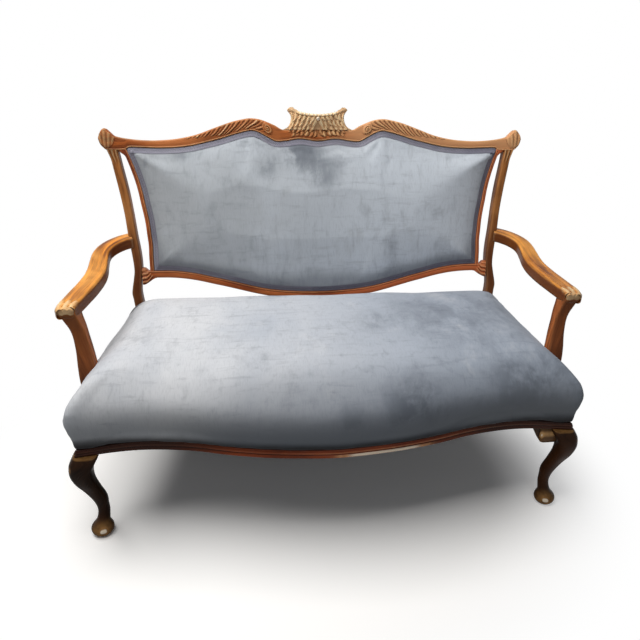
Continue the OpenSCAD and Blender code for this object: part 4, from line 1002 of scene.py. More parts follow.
def post_rings():
    """Back post: rear foot, upright stretch past the seat, and the leaning, curved top."""
    rake, foot_w, half = 85.0, 30.0, BACK_HALF
    low = [(0, foot_w, POST_Y + rake), (LEG_H * 0.22, POST_BLOCK * 0.76, POST_Y + rake * 0.71),
           (LEG_H * 0.45, POST_BLOCK * 0.82, POST_Y + rake * 0.43),
           (LEG_H * 0.7, POST_BLOCK * 0.92, POST_Y + rake * 0.16),
           (LEG_H * 0.95, POST_BLOCK, POST_Y), (RAIL_TOP, POST_BLOCK, POST_Y),
           (RAIL_TOP + HINGE_RISE * 0.5, POST_BLOCK * 0.9, POST_Y + (HINGE_Y - POST_Y) * 0.25)]
    table = [(z, half - w / 2, y + w / 2, w, w) for z, w, y in low]
    for i in range(12):
        v = PANEL_H * 1.02 * i / 11
        z = v * math.cos(RECLINE)
        w = post_wide(v)
        table.append((HINGE_Z + z, post_out(v) - w / 2, HINGE_Y + math.tan(RECLINE) * z
                      + POST_T / 2, w, POST_T))
    top = table[-1][0]
    rings, count = [], 230
    for i in range(count + 1):
        z = top * i / count
        fine_v = (z - HINGE_Z) / math.cos(RECLINE)
        if fine_v > 0:
            w = post_wide(fine_v)
            cx = post_out(fine_v) - w / 2
            d = POST_T
            cy = HINGE_Y + math.tan(RECLINE) * (z - HINGE_Z) + POST_T / 2
        else:
            cx, cy, w, d = (smooth(table, z, k) for k in (1, 2, 3, 4))
        leaf = step(PANEL_H - 62, PANEL_H - 20, fine_v)
        ring = []
        for x, y in rounded(w, d, 6.0 if z > 40 else 8.0):
            across = x / (w / 2)
            groove = math.cos(across * 2.6 * math.pi + 0.35 * math.sin(fine_v / 6)) * leaf
            front = 1 - step(-d / 2, -d / 2 + 6, y)
            ring.append((cx + x, cy + y - 1.5 * groove * front, z,
                         (0.35 * leaf + groove * 0.5) * front))
        rings.append(ring)
    return rings


def make_post():
    piece = skin("right_post", post_rings(), placed)
    edit(piece, "SELECT")
    level = Vector(on_back((0, 0, CREST_SEAT_V + 1.0))) * MM
    up = Vector((0, math.sin(RECLINE), math.cos(RECLINE)))
    bpy.ops.mesh.bisect(plane_co=level, plane_no=up, use_fill=True, clear_outer=True)
    bpy.ops.object.mode_set(mode="OBJECT")
    return piece


# ---------------------------------------------------------------- arms

ARM = [(0, 0.04, 0, 0.5, -0.06), (0.012, 0.02, 0.004, 0.72, 0), (0.03, 0, 0.015, 0.86, 0.02),
       (0.07, 0, 0.05, 0.92, 0.02), (0.13, 0.04, 0.11, 0.94, 0.01),
       (0.24, 0.12, 0.22, 0.98, 0.02), (0.36, 0.22, 0.34, 1, 0.06), (0.48, 0.29, 0.47, 1, 0.14),
       (0.58, 0.28, 0.57, 0.98, 0.25), (0.68, 0.22, 0.67, 0.92, 0.42),
       (0.76, 0.18, 0.76, 0.88, 0.57), (0.83, 0.24, 0.83, 0.86, 0.7),
       (0.89, 0.42, 0.9, 0.86, 0.81), (0.95, 0.7, 0.96, 0.87, 0.9), (1, 1, 1, 0.88, 0.95)]
NOSE = [(0, 0.2), (0.004, 0.4), (0.012, 0.62), (0.03, 0.82), (0.06, 0.95), (0.1, 1), (1, 1)]
ARM_BACK_Y = HINGE_Y + math.tan(RECLINE) * (ARM_Z + 0.3 * ARM_T - HINGE_Z) + POST_T / 2
ARM_ROOT_Z = ARM_Z + 0.3 * ARM_T
ARM_IN = ARM_TIP_X - post_out((ARM_ROOT_Z - HINGE_Z) / math.cos(RECLINE)) + 3
ARM_LEN = ARM_BACK_Y - ARM_SETBACK


def arm_place(s):
    return (ARM_TIP_X - ARM_IN * smooth(ARM, s), ARM_SETBACK + ARM_LEN * smooth(ARM, s, 2))


def make_arm():
    rings, count = [], 190
    for i in range(count + 1):
        s = (i / count) ** 1.35
        a, b = arm_place(max(0, s - 0.004)), arm_place(min(1, s + 0.004))
        p = arm_place(s)
        side = (1, 0) if s < 0.02 else (0, 1) if s > 0.995 else unit2((b[1] - a[1], a[0] - b[0]))
        nose = smooth(NOSE, s)
        w = ARM_W * smooth(ARM, s, 3) * (0.55 + 0.45 * min(1, nose * 1.1) if s < 0.03 else 1)
        t = ARM_T * nose
        top = ARM_Z + ARM_T * smooth(ARM, s, 4) - (1 - nose) * ARM_T * 0.42
        ring = []
        leaf = 1 - step(0.09, 0.15, s)
        nosed = 1 - step(0.02, 0.05, s)
        for x, z in rounded(w, t, min(7.0, t * 0.28), 9):
            across = x / (w / 2)
            up = step(0.1, 0.42, z / t)
            up = max(up, (1 - step(0.018, 0.04, s)) * step(-0.45, 0.1, z / t))
            crown = 1.2 * (1 - across * across) * (1 if z > 0 else 0)
            tip = 1 - step(0.03, 0.2, s)
            spread = across * (2.4 + 0.9 * tip)
            flute = math.cos(math.pi * spread) * (0.75 + 0.25 * math.cos(s * 120))
            rise = 1.9 * flute * leaf * up
            lip = -0.8 * (1 - step(0.0, 0.05, abs(abs(across) - 0.9))) * (1 if z > t * 0.4 else 0)
            ring.append((p[0] + side[0] * x, p[1] + side[1] * x,
                         top - t / 2 + z + crown + rise + lip * (1 - leaf),
                         (0.6 + 0.4 * flute * (1 - nosed)) * leaf * up - 0.35 * nosed * (1 - up)))
        rings.append(ring)
    return skin("right_arm_piece", rings, placed)


SUPPORT = [(0, 1.05, -1.2, 1.35, 1.2), (0.3, 0.95, -1.15, 1.3, 1.15),
           (0.45, 0.86, -0.95, 1.15, 1.05), (0.58, 0.7, -0.5, 1, 0.97),
           (0.7, 0.5, -0.15, 0.93, 0.93), (0.8, 0.33, 0.05, 0.92, 0.95),
           (0.9, 0.14, 0.05, 0.93, 1), (1, 0, 0, 0.95, 1.1)]
SWAY = 28.0
SUPPORT_HEAD = (ARM_TIP_X - 12, ARM_SETBACK + 20)


def make_support():
    """The curved support, spread at its head where it runs into the arm."""
    rings, count = [], 110
    foot, head = RAIL_TOP + 0.1, ARM_Z - ARM_T / 2
    for i in range(count + 1):
        s = i / count
        flare = step(0.66, 1.04, s) ** 1.5
        w = SUPPORT_W * smooth(SUPPORT, s, 3) + 11 * flare
        d = SUPPORT_T * smooth(SUPPORT, s, 4) + 18 * flare
        full = math.sin(math.pi * s)
        w += 7 * full
        x = SUPPORT_HEAD[0] - SWAY * smooth(SUPPORT, s) + 11 * flare + 3 * full
        y = SUPPORT_HEAD[1] + SWAY * smooth(SUPPORT, s, 2) + 10 * flare
        shade = -0.4 * (1 - step(0.3, 0.42, s))
        rings.append([(x + px, y + py, foot + s * (head + 3 - foot), shade)
                      for px, py in rounded(w, d, 6.0)])
    return skin("right_support", rings, placed)


# ---------------------------------------------------------------- seat frame

BEAD = [(0.5, 0.0), (0.3, 0.0), (0.12, 0.03), (0.03, 0.09), (0.0, 0.17), (0.03, 0.26),
        (0.11, 0.33), (0.24, 0.37), (0.28, 0.4), (0.22, 0.43), (0.13, 0.46), (0.09, 0.52),
        (0.09, 0.6), (0.13, 0.67), (0.2, 0.73), (0.27, 0.76), (0.22, 0.79), (0.18, 0.84),
        (0.24, 0.9), (0.4, 0.96), (0.6, 1.0), (1.0, 1.0), (1.0, 0.75), (1.0, 0.5), (1.0, 0.25),
        (1.0, 0.0), (0.75, 0.0)]


def corner_of(x, y):
    return step(0.72, 1.0, abs(x) / CORNER_X) * (1 - step(60, 200, y))


def overlap(x, y):
    """How far the velvet comes down over the moulding, most of all at the front corners."""
    return 4.0 + 6.5 * corner_of(x, y)


def bead_ring(p, n):
    """The moulding's section at a place: darker in its grooves, painted shadow under the velvet,
    and painted light: a paler middle and a glint along its lower bead."""
    height = BEAD_H - overlap(*p) + 1.0
    x = p[0] + n[0] * BEAD[0][0] * BEAD_T
    # Painted glint along the lower bead, brightest towards the middle, and a paler middle to the
    # front: painted light.
    painted_glint = 0.1 + 1.9 * math.exp(-((x - 115) / 110) ** 4)
    painted_highlight = 0.25 + 0.3 * hill(x, 120, 260)
    # Marks: darker in the grooves, painted shadow along the top under the velvet, then the painted
    # glint and the painted light.
    return [(p[0] + n[0] * q * BEAD_T, p[1] + n[1] * q * BEAD_T, LEG_H + h * height,
             -0.8 if h > 0.87 or (q > 0.2 and 0.36 < h < 0.45) or h == 0.76 else
             painted_glint if q < 0.12 and 0.08 < h < 0.35 else painted_highlight if q < 0.1 else 0.0)
            for q, h in BEAD]


def corner_normal():
    f = front_normal(CORNER_X - BEAD_T)
    g = unit2((-1, -SIDE_LEAN))
    scale = 1 + f[0] * g[0] + f[1] * g[1]
    return ((f[0] + g[0]) / scale, (f[1] + g[1]) / scale), g


def make_front_moulding():
    corner, _ = corner_normal()
    count = 170
    rings = [bead_ring((-CORNER_X, 0), (-corner[0], corner[1]))]
    for i in range(1, count):
        x = (2 * i / count - 1) * CORNER_X
        n = front_normal(x)
        rings.append(bead_ring((x, front_y(x)), n))
    rings.append(bead_ring((CORNER_X, 0), corner))
    return skin("front_bead", rings, placed)


def make_side_moulding():
    corner, side = corner_normal()
    rings = [bead_ring((CORNER_X, 0), corner)]
    for i in range(1, 31):
        y = POST_Y * i / 30
        rings.append(bead_ring((side_x(y), y), side))
    return skin("right_bead", rings, placed)


KNEE_W, ANKLE_W, FOOT_W, KNEE_REACH, FOOT_REACH = 51.0, 30.0, 57.0, 36.0, 12.0
LEG = [(0, FOOT_REACH, FOOT_W * 0.3, 2), (0.015, FOOT_REACH, FOOT_W * 0.41, 2),
       (0.05, FOOT_REACH, FOOT_W * 0.49, 2), (0.085, FOOT_REACH, FOOT_W * 0.47, 2),
       (0.115, FOOT_REACH * 0.85, FOOT_W * 0.39, 2),
       (0.145, FOOT_REACH * 0.6, FOOT_W * 0.31, 2.1),
       (0.185, FOOT_REACH * 0.3, ANKLE_W * 0.52, 2.2), (0.25, 0, ANKLE_W * 0.48, 2.3),
       (0.32, 0, ANKLE_W * 0.48, 2.4), (0.425, KNEE_REACH * 0.1, ANKLE_W * 0.57, 2.5),
       (0.565, KNEE_REACH * 0.44, KNEE_W * 0.36, 2.6),
       (0.715, KNEE_REACH * 0.84, KNEE_W * 0.44, 2.8),
       (0.84, KNEE_REACH * 0.95, KNEE_W * 0.52, 2.8),
       (0.92, KNEE_REACH * 0.76, KNEE_W * 0.59, 3.2), (0.97, KNEE_REACH * 0.5, KNEE_W * 0.6, 3.6),
       (1, KNEE_REACH * 0.4, KNEE_W * 0.54, 3.6)]


def make_leg():
    """Cabriole leg and pad foot, with painted light: a lit shoulder on the knee, highlights, a
    glint.
    """
    count, sides = 150, 56
    rings = []
    for i in range(count + 1):
        s = (i / count) ** 1.1
        out = smooth(LEG, s) / math.sqrt(2)
        w, n = smooth(LEG, s, 2), smooth(LEG, s, 3)
        ring = []
        # Painted light: a pale band where the top of the knee catches the light.
        painted_knee_light = step(0.98, 0.995, s)
        for k in range(sides):
            a = 2 * math.pi * k / sides
            c, d = math.cos(a), math.sin(a)
            outward = max(0.0, (c - d) / math.sqrt(2))
            ridge = 1.6 * step(0.86, 1.0, outward) * step(0.35, 0.6, s) * (1 - step(0.8, 0.9, s))
            reach = w + ridge
            x = math.copysign(abs(c) ** (2 / n), c) * reach
            y = math.copysign(abs(d) ** (2 / n), d) * reach
            # Painted light: facing turns towards the camera. A glint on the front of the foot,
            # small highlights on the knee's outer edge, and a paler foot, most on the side that
            # faces the camera.
            facing = max(0.0, -0.3 * c - 0.954 * d)
            painted_highlight = 1.3 * hill(s, 0.082, 0.024) * step(0.9, 1.0, facing)
            painted_highlight += 0.7 * hill(s, 0.9, 0.03) * step(0.96, 1.0, outward)
            foot = 0.6 * (1 - step(0.09, 0.24, s)) * (0.35 + 0.65 * facing)
            ring.append((BLOCK_X + out + x, BLOCK_Y - out + y, s * LEG_H,
                         0.1 + 0.5 * painted_knee_light + painted_highlight + foot))
        rings.append(ring)
    return skin("right_leg", rings, placed)


# The knee bracket: places across from the leg and how far down it reaches there
KNEE_BLOCK = [(-48, -1.5), (-43, -8), (-37, -18), (-27, -37), (-20, -48), (-12, -53), (-4, -54),
              (10, -54), (36, -54)]


def make_knee_bracket():
    """The bracket beside the right-hand leg: a sawn block with a rounded roll along its top."""
    start, y = BLOCK_X - BLOCK_W / 2, front_y(BLOCK_X - BLOCK_W / 2) + BEAD_T
    rings = []
    for x in np.linspace(-48, 36, 60):
        low = smooth(KNEE_BLOCK, x)
        end = arch(max(0.0, (-14 - x) / 13))
        ring = []
        for i in range(31):
            z = -0.3 + (low + 0.3) * i / 30
            roll = arch((z + 25) / 24.5) * end
            soft = 2.5 * (1 - step(0.0, 4.0, z - low))
            # Painted light: the roll is paler along its upper part, with a glint at its left end.
            end_lit = math.exp(-((x + 23) / 3.5) ** 2 - ((z + 22) / 9.0) ** 2)
            ring.append((y + soft - 10 * roll, z, 0.8 * roll * hill(z, -16, 11.0)
                         + 1.2 * end_lit - 0.5 * (1 - step(0.0, 0.25, roll))))
        ring += [(y + depth, low, 0.0) for depth in (8.0, 14.0, 19.0)]
        ring += [(y + 20.0, low + (-0.3 - low) * i / 5, 0.0) for i in range(1, 6)]
        ring.append((y + 10.0, -0.3, 0.0))
        rings.append([(start + x, b, LEG_H + c, m) for b, c, m in ring])
    return skin("knee_block", rings, placed)


# ---------------------------------------------------------------- upholstery

SEAT_CORNER_R = 15.0
SEAT_BACK_Y = SEAT_D + 2.3
CUSHION_BASE = LEG_H + BEAD_H + GAP
CUSHION_H = RAIL_TOP + CROWN_H - CUSHION_BASE
SEAT_MID = (CORNER_X - SEAT_D / 2, SEAT_D * 0.45)
BULGE = 23.0
CUSHION_OUT = [(0, 0.38), (0.06, 0.42), (0.14, 0.54), (0.24, 0.76), (0.34, 0.94), (0.43, 1),
               (0.54, 0.92), (0.67, 0.6), (0.8, 0.2), (1, 0)]
CUSHION_IN = [(0, 0), (0.45, 0), (0.57, 0.01), (0.68, 0.04), (0.78, 0.09), (0.86, 0.16),
              (0.93, 0.3), (0.975, 0.52), (1, 0.78)]


def inward(p, mid, share, inset):
    """A point of a plan drawn in towards its middle line."""
    tx = max(-mid[0], min(mid[0], p[0])) - p[0]
    ty = mid[1] - p[1]
    far = math.hypot(tx, ty)
    return (p[0] + share * tx + inset * tx / far, p[1] + share * ty + inset * ty / far)


def seat_plan(front_count=64):
    right = []
    for a in (11, 22.5, 34, 45, 56, 67.5, 79):
        x, y = CORNER_X - SEAT_CORNER_R, front_y(CORNER_X - SEAT_CORNER_R) + SEAT_CORNER_R
        right.append((x + SEAT_CORNER_R * math.sin(math.radians(a)),
                      y - SEAT_CORNER_R * math.cos(math.radians(a))))
    right += [(side_x(y), y) for y in np.linspace(0.07, 0.95, 24) * SEAT_BACK_Y]
    right.append((side_x(SEAT_BACK_Y) - SEAT_CORNER_R * 0.3, SEAT_BACK_Y - SEAT_CORNER_R * 0.3))
    reach = CORNER_X - SEAT_CORNER_R
    front = [(x, front_y(x)) for x in np.linspace(-reach, reach, front_count + 1)]
    back = [(k * side_x(SEAT_BACK_Y), SEAT_BACK_Y) for k in np.linspace(0.96, -0.96, 40)]
    left = [(-x, y) for x, y in reversed(right)]
    return front + right + back + left


def cushion_rings(plan, shrink=0.0):
    rings = []
    for s in (0, 0.03, 0.07, 0.12, 0.18, 0.24, 0.3, 0.37, 0.45, 0.51, 0.57, 0.63, 0.68, 0.73, 0.78,
              0.82, 0.86, 0.895, 0.93, 0.955, 0.975, 0.99, 1):
        ring = []
        for p in plan:
            near_back = min(1.0, max(0.0, (SEAT_BACK_Y - p[1]) / 28.0))
            tuck = -0.1 * (1 - step(0.1, 0.3, s))
            bulge = BULGE * (smooth(CUSHION_OUT, s) + tuck * corner_of(*p)) * near_back
            q = inward(p, SEAT_MID, smooth(CUSHION_IN, s), shrink - bulge)
            z = CUSHION_BASE + s * (CUSHION_H - shrink) - s * s * 2.0 * q[1] / SEAT_D
            z -= overlap(p[0], p[1]) * (1 - s)
            ring.append((q[0], q[1], z))
        rings.append(ring)
    return rings


def remeshed(piece, voxel):
    applied(piece, "REMESH", mode="VOXEL", voxel_size=voxel)
    applied(piece, "SMOOTH", factor=0.5, iterations=6)


# How long the stuffing pushes, and how the velvet behaves meanwhile
SEAT_FRAMES, BACK_FRAMES = 18, 14
STRETCH = {"quality": 5, "mass": 0.4, "tension_stiffness": 22, "compression_stiffness": 22,
           "shear_stiffness": 12, "bending_stiffness": 0.7, "use_pressure": True}


def swell(piece, held, pressure, frames, cap):
    """Cloth under pressure, held at some points, with no point moved further than cap."""
    start = points_of(piece)
    group = piece.vertex_groups.new(name="held")
    group.add([int(i) for i in np.nonzero(held)[0]], 1.0, "REPLACE")
    only(piece)
    cloth = piece.modifiers.new("Cloth", "CLOTH")
    for key, value in STRETCH.items():
        setattr(cloth.settings, key, value)
    cloth.settings.uniform_pressure_force = pressure
    cloth.settings.effector_weights.gravity = 0
    cloth.settings.vertex_group_mass = "held"
    cloth.collision_settings.use_collision = False
    for f in range(1, frames + 1):
        bpy.context.scene.frame_set(f)
    bpy.ops.object.modifier_apply(modifier="Cloth")
    bpy.context.scene.frame_set(1)
    moved = points_of(piece) - start
    far = np.linalg.norm(moved, axis=1)
    keep = np.where(far > cap, cap / np.maximum(far, 1e-9), 1.0)
    set_points(piece, start + moved * keep[:, None])
    piece.vertex_groups.clear()


def subdivided(piece):
    applied(piece, "SUBSURF", levels=1, render_levels=1)


def panel_plan(ease=1.1, low_count=60, top_count=150, side_count=40):
    foot = STILE_FOOT_X - STILE_W - ease
    top = STILE_TOP_X - STILE_W - ease
    side = []
    for s in np.linspace(0.015, 0.985, side_count):
        side.append((stile_out(s) - STILE_W - ease, stile_v(s)))
    low = [(x, low_top(x) + ease) for x in np.linspace(-foot, foot, low_count + 1)]
    high = [(x, crest_low(x) - ease) for x in np.linspace(top, -top, top_count + 1)]
    return low + side + high + [(-x, v) for x, v in reversed(side)]


def border(plan, spacing, reach=22.0, sharp=25.0):
    """Points at even steps along a closed plan, each with its way inwards, mitred at corners."""
    points = np.array(plan, float)
    points = points[np.linalg.norm(np.roll(points, -1, axis=0) - points, axis=1) > 0.3]
    ahead = np.roll(points, -1, axis=0) - points
    length = np.linalg.norm(ahead, axis=1)
    way = ahead / length[:, None]
    before = np.roll(way, 1, axis=0)
    turn = np.degrees(np.arctan2(before[:, 0] * way[:, 1] - before[:, 1] * way[:, 0],
                                 (before * way).sum(axis=1)))
    corners = [i for i in range(len(points)) if abs(turn[i]) > sharp]
    out = []
    for k, first in enumerate(corners):
        last = corners[(k + 1) % len(corners)]
        index = [first]
        while index[-1] != last:
            index.append((index[-1] + 1) % len(points))
        line = points[index]
        parts = np.diff(line, axis=0)
        gone = along(line)
        parts /= np.linalg.norm(parts, axis=1)[:, None]
        tangent = np.vstack([parts[:1], (parts[:-1] + parts[1:]) / 2, parts[-1:]])
        ends = [np.array([-before[i][1] - way[i][1], before[i][0] + way[i][0]])
                / (1 + before[i] @ way[i]) for i in (first, last)]
        count = max(4, round(gone[-1] / spacing))
        for j in range(count):
            far = gone[-1] * j / count
            p, t = ([np.interp(far, gone, row[:, c]) for c in (0, 1)] for row in (line, tangent))
            t = unit2(t)
            n = np.array([-t[1], t[0]])
            for end, gap in zip(ends, (far, gone[-1] - far)):
                near = max(0.0, 1 - gap / reach)
                n = n * (1 - near) + end * near
            out.append((p[0], p[1], n[0], n[1]))
    return out


PANEL_MID = ((STILE_FOOT_X - STILE_W) * 0.5, (LOW_RAIL_V + PANEL_H) * 0.5)
BACK_EDGE = 4.0
REBATE_D = 11.7
BACK_ROWS = [(0, 0, 0), (0.1, 0, 0.5), (0.25, 0, 1.08), (0.48, 0.06, 1.3), (0.7, 0.16, 1.3),
             (0.87, 0.34, 1.1), (0.96, 0.58, 0.7), (1, 0.84, 0)]


def back_level(s):
    return BACK_EDGE - s * (BACK_EDGE + BACK_CROWN)


def edge_point(b, share, inset):
    """A place in from a border point: an inset along its way in, then a share of the rest."""
    x, v = b[0] + b[2] * inset, b[1] + b[3] * inset
    tx = max(-PANEL_MID[0], min(PANEL_MID[0], x)) - x
    return (x + share * tx, v + share * (PANEL_MID[1] - v))


def back_rings(edge, count=34):
    rings = [[(b[0] + b[2] * GAP, REBATE_D, b[1] + b[3] * GAP) for b in edge]]
    table = [(i / 7, r[0], r[1], r[2]) for i, r in enumerate(BACK_ROWS)]
    for i in range(count + 1):
        s, share, wide = (smooth(table, i / count, k) for k in (1, 2, 3))
        ring = []
        for b in edge:
            q = edge_point(b, share, GAP + wide * BRAID_W)
            ring.append((q[0], back_level(s), q[1]))
        rings.append(ring)
    return rings


def sag(piece, seed, size, depth, free, squeeze=1):
    """Lays soft hollows and rises into worn stuffing, but not where it is held."""
    offset = Vector((seed * 3.1, seed * 1.7, seed * 2.3))
    co = points_of(piece)
    rise = [noise.noise(Vector((x, y, z * squeeze)) / size + offset) for x, y, z in co]
    moved = co + normals_of(piece) * depth * np.array(rise)[:, None]
    set_points(piece, co + (moved - co) * free[:, None])


def in_back(co):
    """Depth behind the back's face and height up along it, in millimetres, of model points."""
    y = co[:, 1] / MM - (HINGE_Y - MID_Y)
    z = co[:, 2] / MM - HINGE_Z
    c, s = math.cos(RECLINE), math.sin(RECLINE)
    return y * c - z * s, y * s + z * c


def ramp(value, low, high):
    u = np.clip((value - low) / (high - low), 0, 1)
    return u * u * (3 - 2 * u)


def overlaps(co):
    return np.array([overlap(x / MM, y / MM + MID_Y) for x, y, _ in co])


def make_seat_cushion():
    """The sprung seat as one stuffed form, held along its base and where it meets the back."""
    cloth = bpy.context.scene.settee_cloth
    piece = skin("seat_cushion", cushion_rings(seat_plan(), 0.5), placed)
    remeshed(piece, cloth.seat_mesh)
    co = points_of(piece)
    depth, up = in_back(co)
    base = co[:, 2] / MM
    lowest = CUSHION_BASE - overlaps(co)
    held = (base < lowest + 5) | ((depth > -9) & (up > 5))
    free = ramp(base, CUSHION_BASE, CUSHION_BASE + 40) * ramp(-depth, 4, 40)
    sag(piece, 3.0, 0.19, 0.0045, free)
    sag(piece, 8.0, 0.075, 0.0016, free)
    swell(piece, held, cloth.pressure, SEAT_FRAMES, cloth.seat_swell)
    subdivided(piece)
    co = points_of(piece)
    lowest = (CUSHION_BASE - overlaps(co)) * MM
    co[:, 2] = np.maximum(co[:, 2], lowest)
    depth, up = in_back(co)
    over = np.where(up > 8, np.maximum(depth + 0.6, 0), 0) * MM
    co[:, 1] -= over / math.cos(RECLINE)
    set_points(piece, co)
    depth, up = in_back(co)
    # Painted shade: the rim marks the foot of the seat and the crease where it meets the back.
    rim = np.maximum(1 - ramp(co[:, 2] - lowest, 0.0, 0.03),
                     ramp(-up, -30, 0) * ramp(depth, -70, -5))
    keep(piece, "rim", np.clip(rim, 0, 1))
    smooth_shade(piece, 180)
    return settle(piece, "velvet", material("velvet_seat"), "seat_cover", "seat_stuffing")


def make_back_pad():
    """The stuffed inside back, held at its edge by the braid."""
    cloth = bpy.context.scene.settee_cloth
    piece = skin("back_pad", back_rings(border(panel_plan(), 7.0)), on_back)
    remeshed(piece, cloth.back_mesh)
    co = points_of(piece)
    depth, up = in_back(co)
    held = depth > -6.5
    free = ramp(-depth, 8, 26)
    sag(piece, 5.0, 0.17, 0.0042, free, 0.8)
    sag(piece, 11.0, 0.06, 0.0012, free)
    swell(piece, held, cloth.pressure, BACK_FRAMES, cloth.back_swell)
    subdivided(piece)
    depth, up = in_back(points_of(piece))
    # Painted shade: the rim marks the velvet beside the braid, less of it high up.
    rim = ramp(depth, -24, -5) * (1 - 0.6 * ramp(up, 110, 220))
    keep(piece, "rim", np.clip(rim, 0, 1))
    smooth_shade(piece, 180)
    return settle(piece, "velvet", material("velvet_back"), "inside_back_cover", "back_stuffing")


CORDS = 3


def make_braid():
    """Gimp: waving cords that cross one another, between two straight edge cords."""
    edge = border(panel_plan(), 1.5)
    across = 15
    table = [(i / 2, r[0], r[2]) for i, r in enumerate(BACK_ROWS[:3])]
    lows = (0.0, 0.5, 1.0)
    run, rings = 0.0, []
    for i, b in enumerate(edge):
        a = edge[i - 1] if i else b
        run += math.hypot(b[0] - a[0], b[1] - a[1])
        ring = []
        for k in range(across + 1):
            t = k / across
            s, wide = smooth(table, t, 1), smooth(table, t, 2)
            x, v = edge_point(b, 0.0, GAP + wide * BRAID_W)
            height = 0.0
            for c in range(CORDS):
                middle = 0.5 + 0.3 * math.sin(run / 2.1 + c * 2.09)
                over = 0.75 + 0.25 * math.cos(run / 2.1 + c * 2.09)
                height = max(height, arch((t - middle) / 0.13) * over)
            for middle in (0.06, 0.94):
                over = 0.8 + 0.2 * math.sin(run * 1.9)
                height = max(height, arch((t - middle) / 0.07) * over)
            lift = 0.35 + 1.25 * height
            ring.append((x, back_level(s) - GAP - lift, v, height * 1.3 - 0.9))
        for t in reversed(lows):
            s, wide = smooth(table, t, 1), smooth(table, t, 2)
            x, v = edge_point(b, 0.0, GAP + wide * BRAID_W)
            ring.append((x, back_level(s) - GAP, v, -0.5))
        rings.append(ring)
    piece = skin("inside_braid", rings, on_back, ring_loop=True)
    smooth_shade(piece, 60)
    return settle(piece, "braid", material("braid"), "back_braid")


def flat_sheet(name, plan, spacing, place_point, thick):
    """A stretched sheet: a plan filled with even faces, then given its thickness."""
    loop = np.array([b[:2] for b in border(plan, spacing)])
    low, high = np.min(loop, axis=0), np.max(loop, axis=0)
    piece = new_grid(name, *(max(2, int(round(side / spacing))) for side in high - low))
    co = points_of(piece) + 0.5
    inside = np.zeros(len(co), bool)
    spots = low + co[:, :2] * (high - low)
    after = np.roll(loop, -1, axis=0)
    for i, (x, y) in enumerate(spots):
        cross = (loop[:, 1] > y) != (after[:, 1] > y)
        at = loop[:, 0] + (y - loop[:, 1]) * (after[:, 0] - loop[:, 0]) / (
            after[:, 1] - loop[:, 1] + 1e-12)
        inside[i] = np.count_nonzero(cross & (at > x)) % 2
    for i in np.nonzero(~inside)[0]:
        part = after - loop
        t = np.clip(((spots[i] - loop) * part).sum(axis=1) / (part ** 2).sum(axis=1), 0, 1)
        foot = loop + part * t[:, None]
        gap = np.linalg.norm(foot - spots[i], axis=1)
        best = gap.argmin()
        if gap[best] < spacing * 0.75:
            spots[i], inside[i] = foot[best], True
    set_points(piece, np.array([place_point(p) for p in spots]) * MM)
    edit(piece)
    bpy.ops.object.mode_set(mode="OBJECT")
    for i in np.nonzero(~inside)[0]:
        piece.data.vertices[int(i)].select = True
    bpy.ops.object.mode_set(mode="EDIT")
    bpy.ops.mesh.delete(type="VERT")
    bpy.ops.object.mode_set(mode="OBJECT")
    applied(piece, "SOLIDIFY", thickness=thick, offset=0)
    return piece


def outside_plan():
    """The back of the frame, half way over its members."""
    grow = 7.0
    return [(b[0] - b[2] * grow, b[1] - b[3] * grow) for b in border(panel_plan(), 9.0)]


def make_outside_back():
    piece = flat_sheet("outside_back", outside_plan(), 9.0,
                       lambda p: on_back((p[0], FRAME_T + 0.6, p[1])), 0.0009)
    settle(piece, "velvet", material("velvet_out"), "outside_back_cover")


def dust_plan():
    """The underside of the seat frame, notched round its four legs."""
    inset = 19.0
    front = [(x, front_y(x) + inset) for x in np.linspace(-566, 566, 60)]
    right = [(568, 34), (568, 54), (side_x(54) - inset, 55), (side_x(468) - inset, 468),
             (508, 470), (508, SEAT_BACK_Y - inset)]
    return front + right + [(-x, y) for x, y in reversed(right)]


def make_dust_sheet():
    piece = flat_sheet("black_lining", dust_plan(), 11.0,
                       lambda p: placed((p[0], p[1], LEG_H + 1.0)), 0.0007)
    settle(piece, "black_cloth", material("black"), "dust_cover")


def soft_copy(node, name, thick):
    """A copy of a hidden cloth solid, merged and eased, for the layers inside."""
    piece = new_grid(name, 1, 1)
    old = piece.data
    piece.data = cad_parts[node].data.copy()
    bpy.data.meshes.remove(old)
    piece.data.name = name
    edit(piece, "SELECT")
    bpy.ops.mesh.remove_doubles(threshold=0.00002)
    face_out(piece)
    applied(piece, "BEVEL", width=thick * 0.3, segments=2, angle_limit=math.radians(50))
    smooth_shade(piece, 40)
    return piece


def dress(nodes, finish):
    """Gives solids that keep their own shape a finish."""
    for node in nodes:
        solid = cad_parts[node]
        solid.data.materials.clear()
        solid.data.materials.append(material(finish))


def lay_flat(piece):
    """Works out how large a hidden layer of cloth was cut, from its own faces, and does not use
    it.
    """
    area = sum(p.area for p in piece.data.polygons) / 2
    co = points_of(piece)
    reach = sorted(co.max(axis=0) - co.min(axis=0))[1:]
    area = min(area, float(reach[0] * reach[1]))


# ---------------------------------------------------------------- stage

CAMERA_PLACE = (-0.1425, -1.4577, 1.2372)
CAMERA_SHIFT = (-0.0379, -0.0246)


def seen_white(tree, shader, amount):
    """Adds light that only the camera and mirror images see."""
    path = add_node(tree, "ShaderNodeLightPath")
    seen = math_node(tree, "MAXIMUM", path.outputs["Is Camera Ray"],
                     math_node(tree, "MAXIMUM", path.outputs["Is Glossy Ray"],
                               path.outputs["Is Transmission Ray"]))
    glow = add_node(tree, "ShaderNodeEmission", {"Color": (1, 1, 1, 1), "Strength": 1.0})
    return add_node(tree, "ShaderNodeMixShader",
                    {0: math_node(tree, "MULTIPLY", seen, amount), 1: shader, 2: glow.outputs[0]})


def add_lamp(name, place_at, aim, size, power, colour):
    clear_selection()
    bpy.ops.object.light_add(type="AREA", location=place_at)
    lamp = bpy.context.object
    lamp.name = name
    lamp.data.size, lamp.data.energy, lamp.data.color = size, power, colour
    lamp.rotation_euler = (Vector(aim) - Vector(place_at)).to_track_quat("-Z", "Y").to_euler()


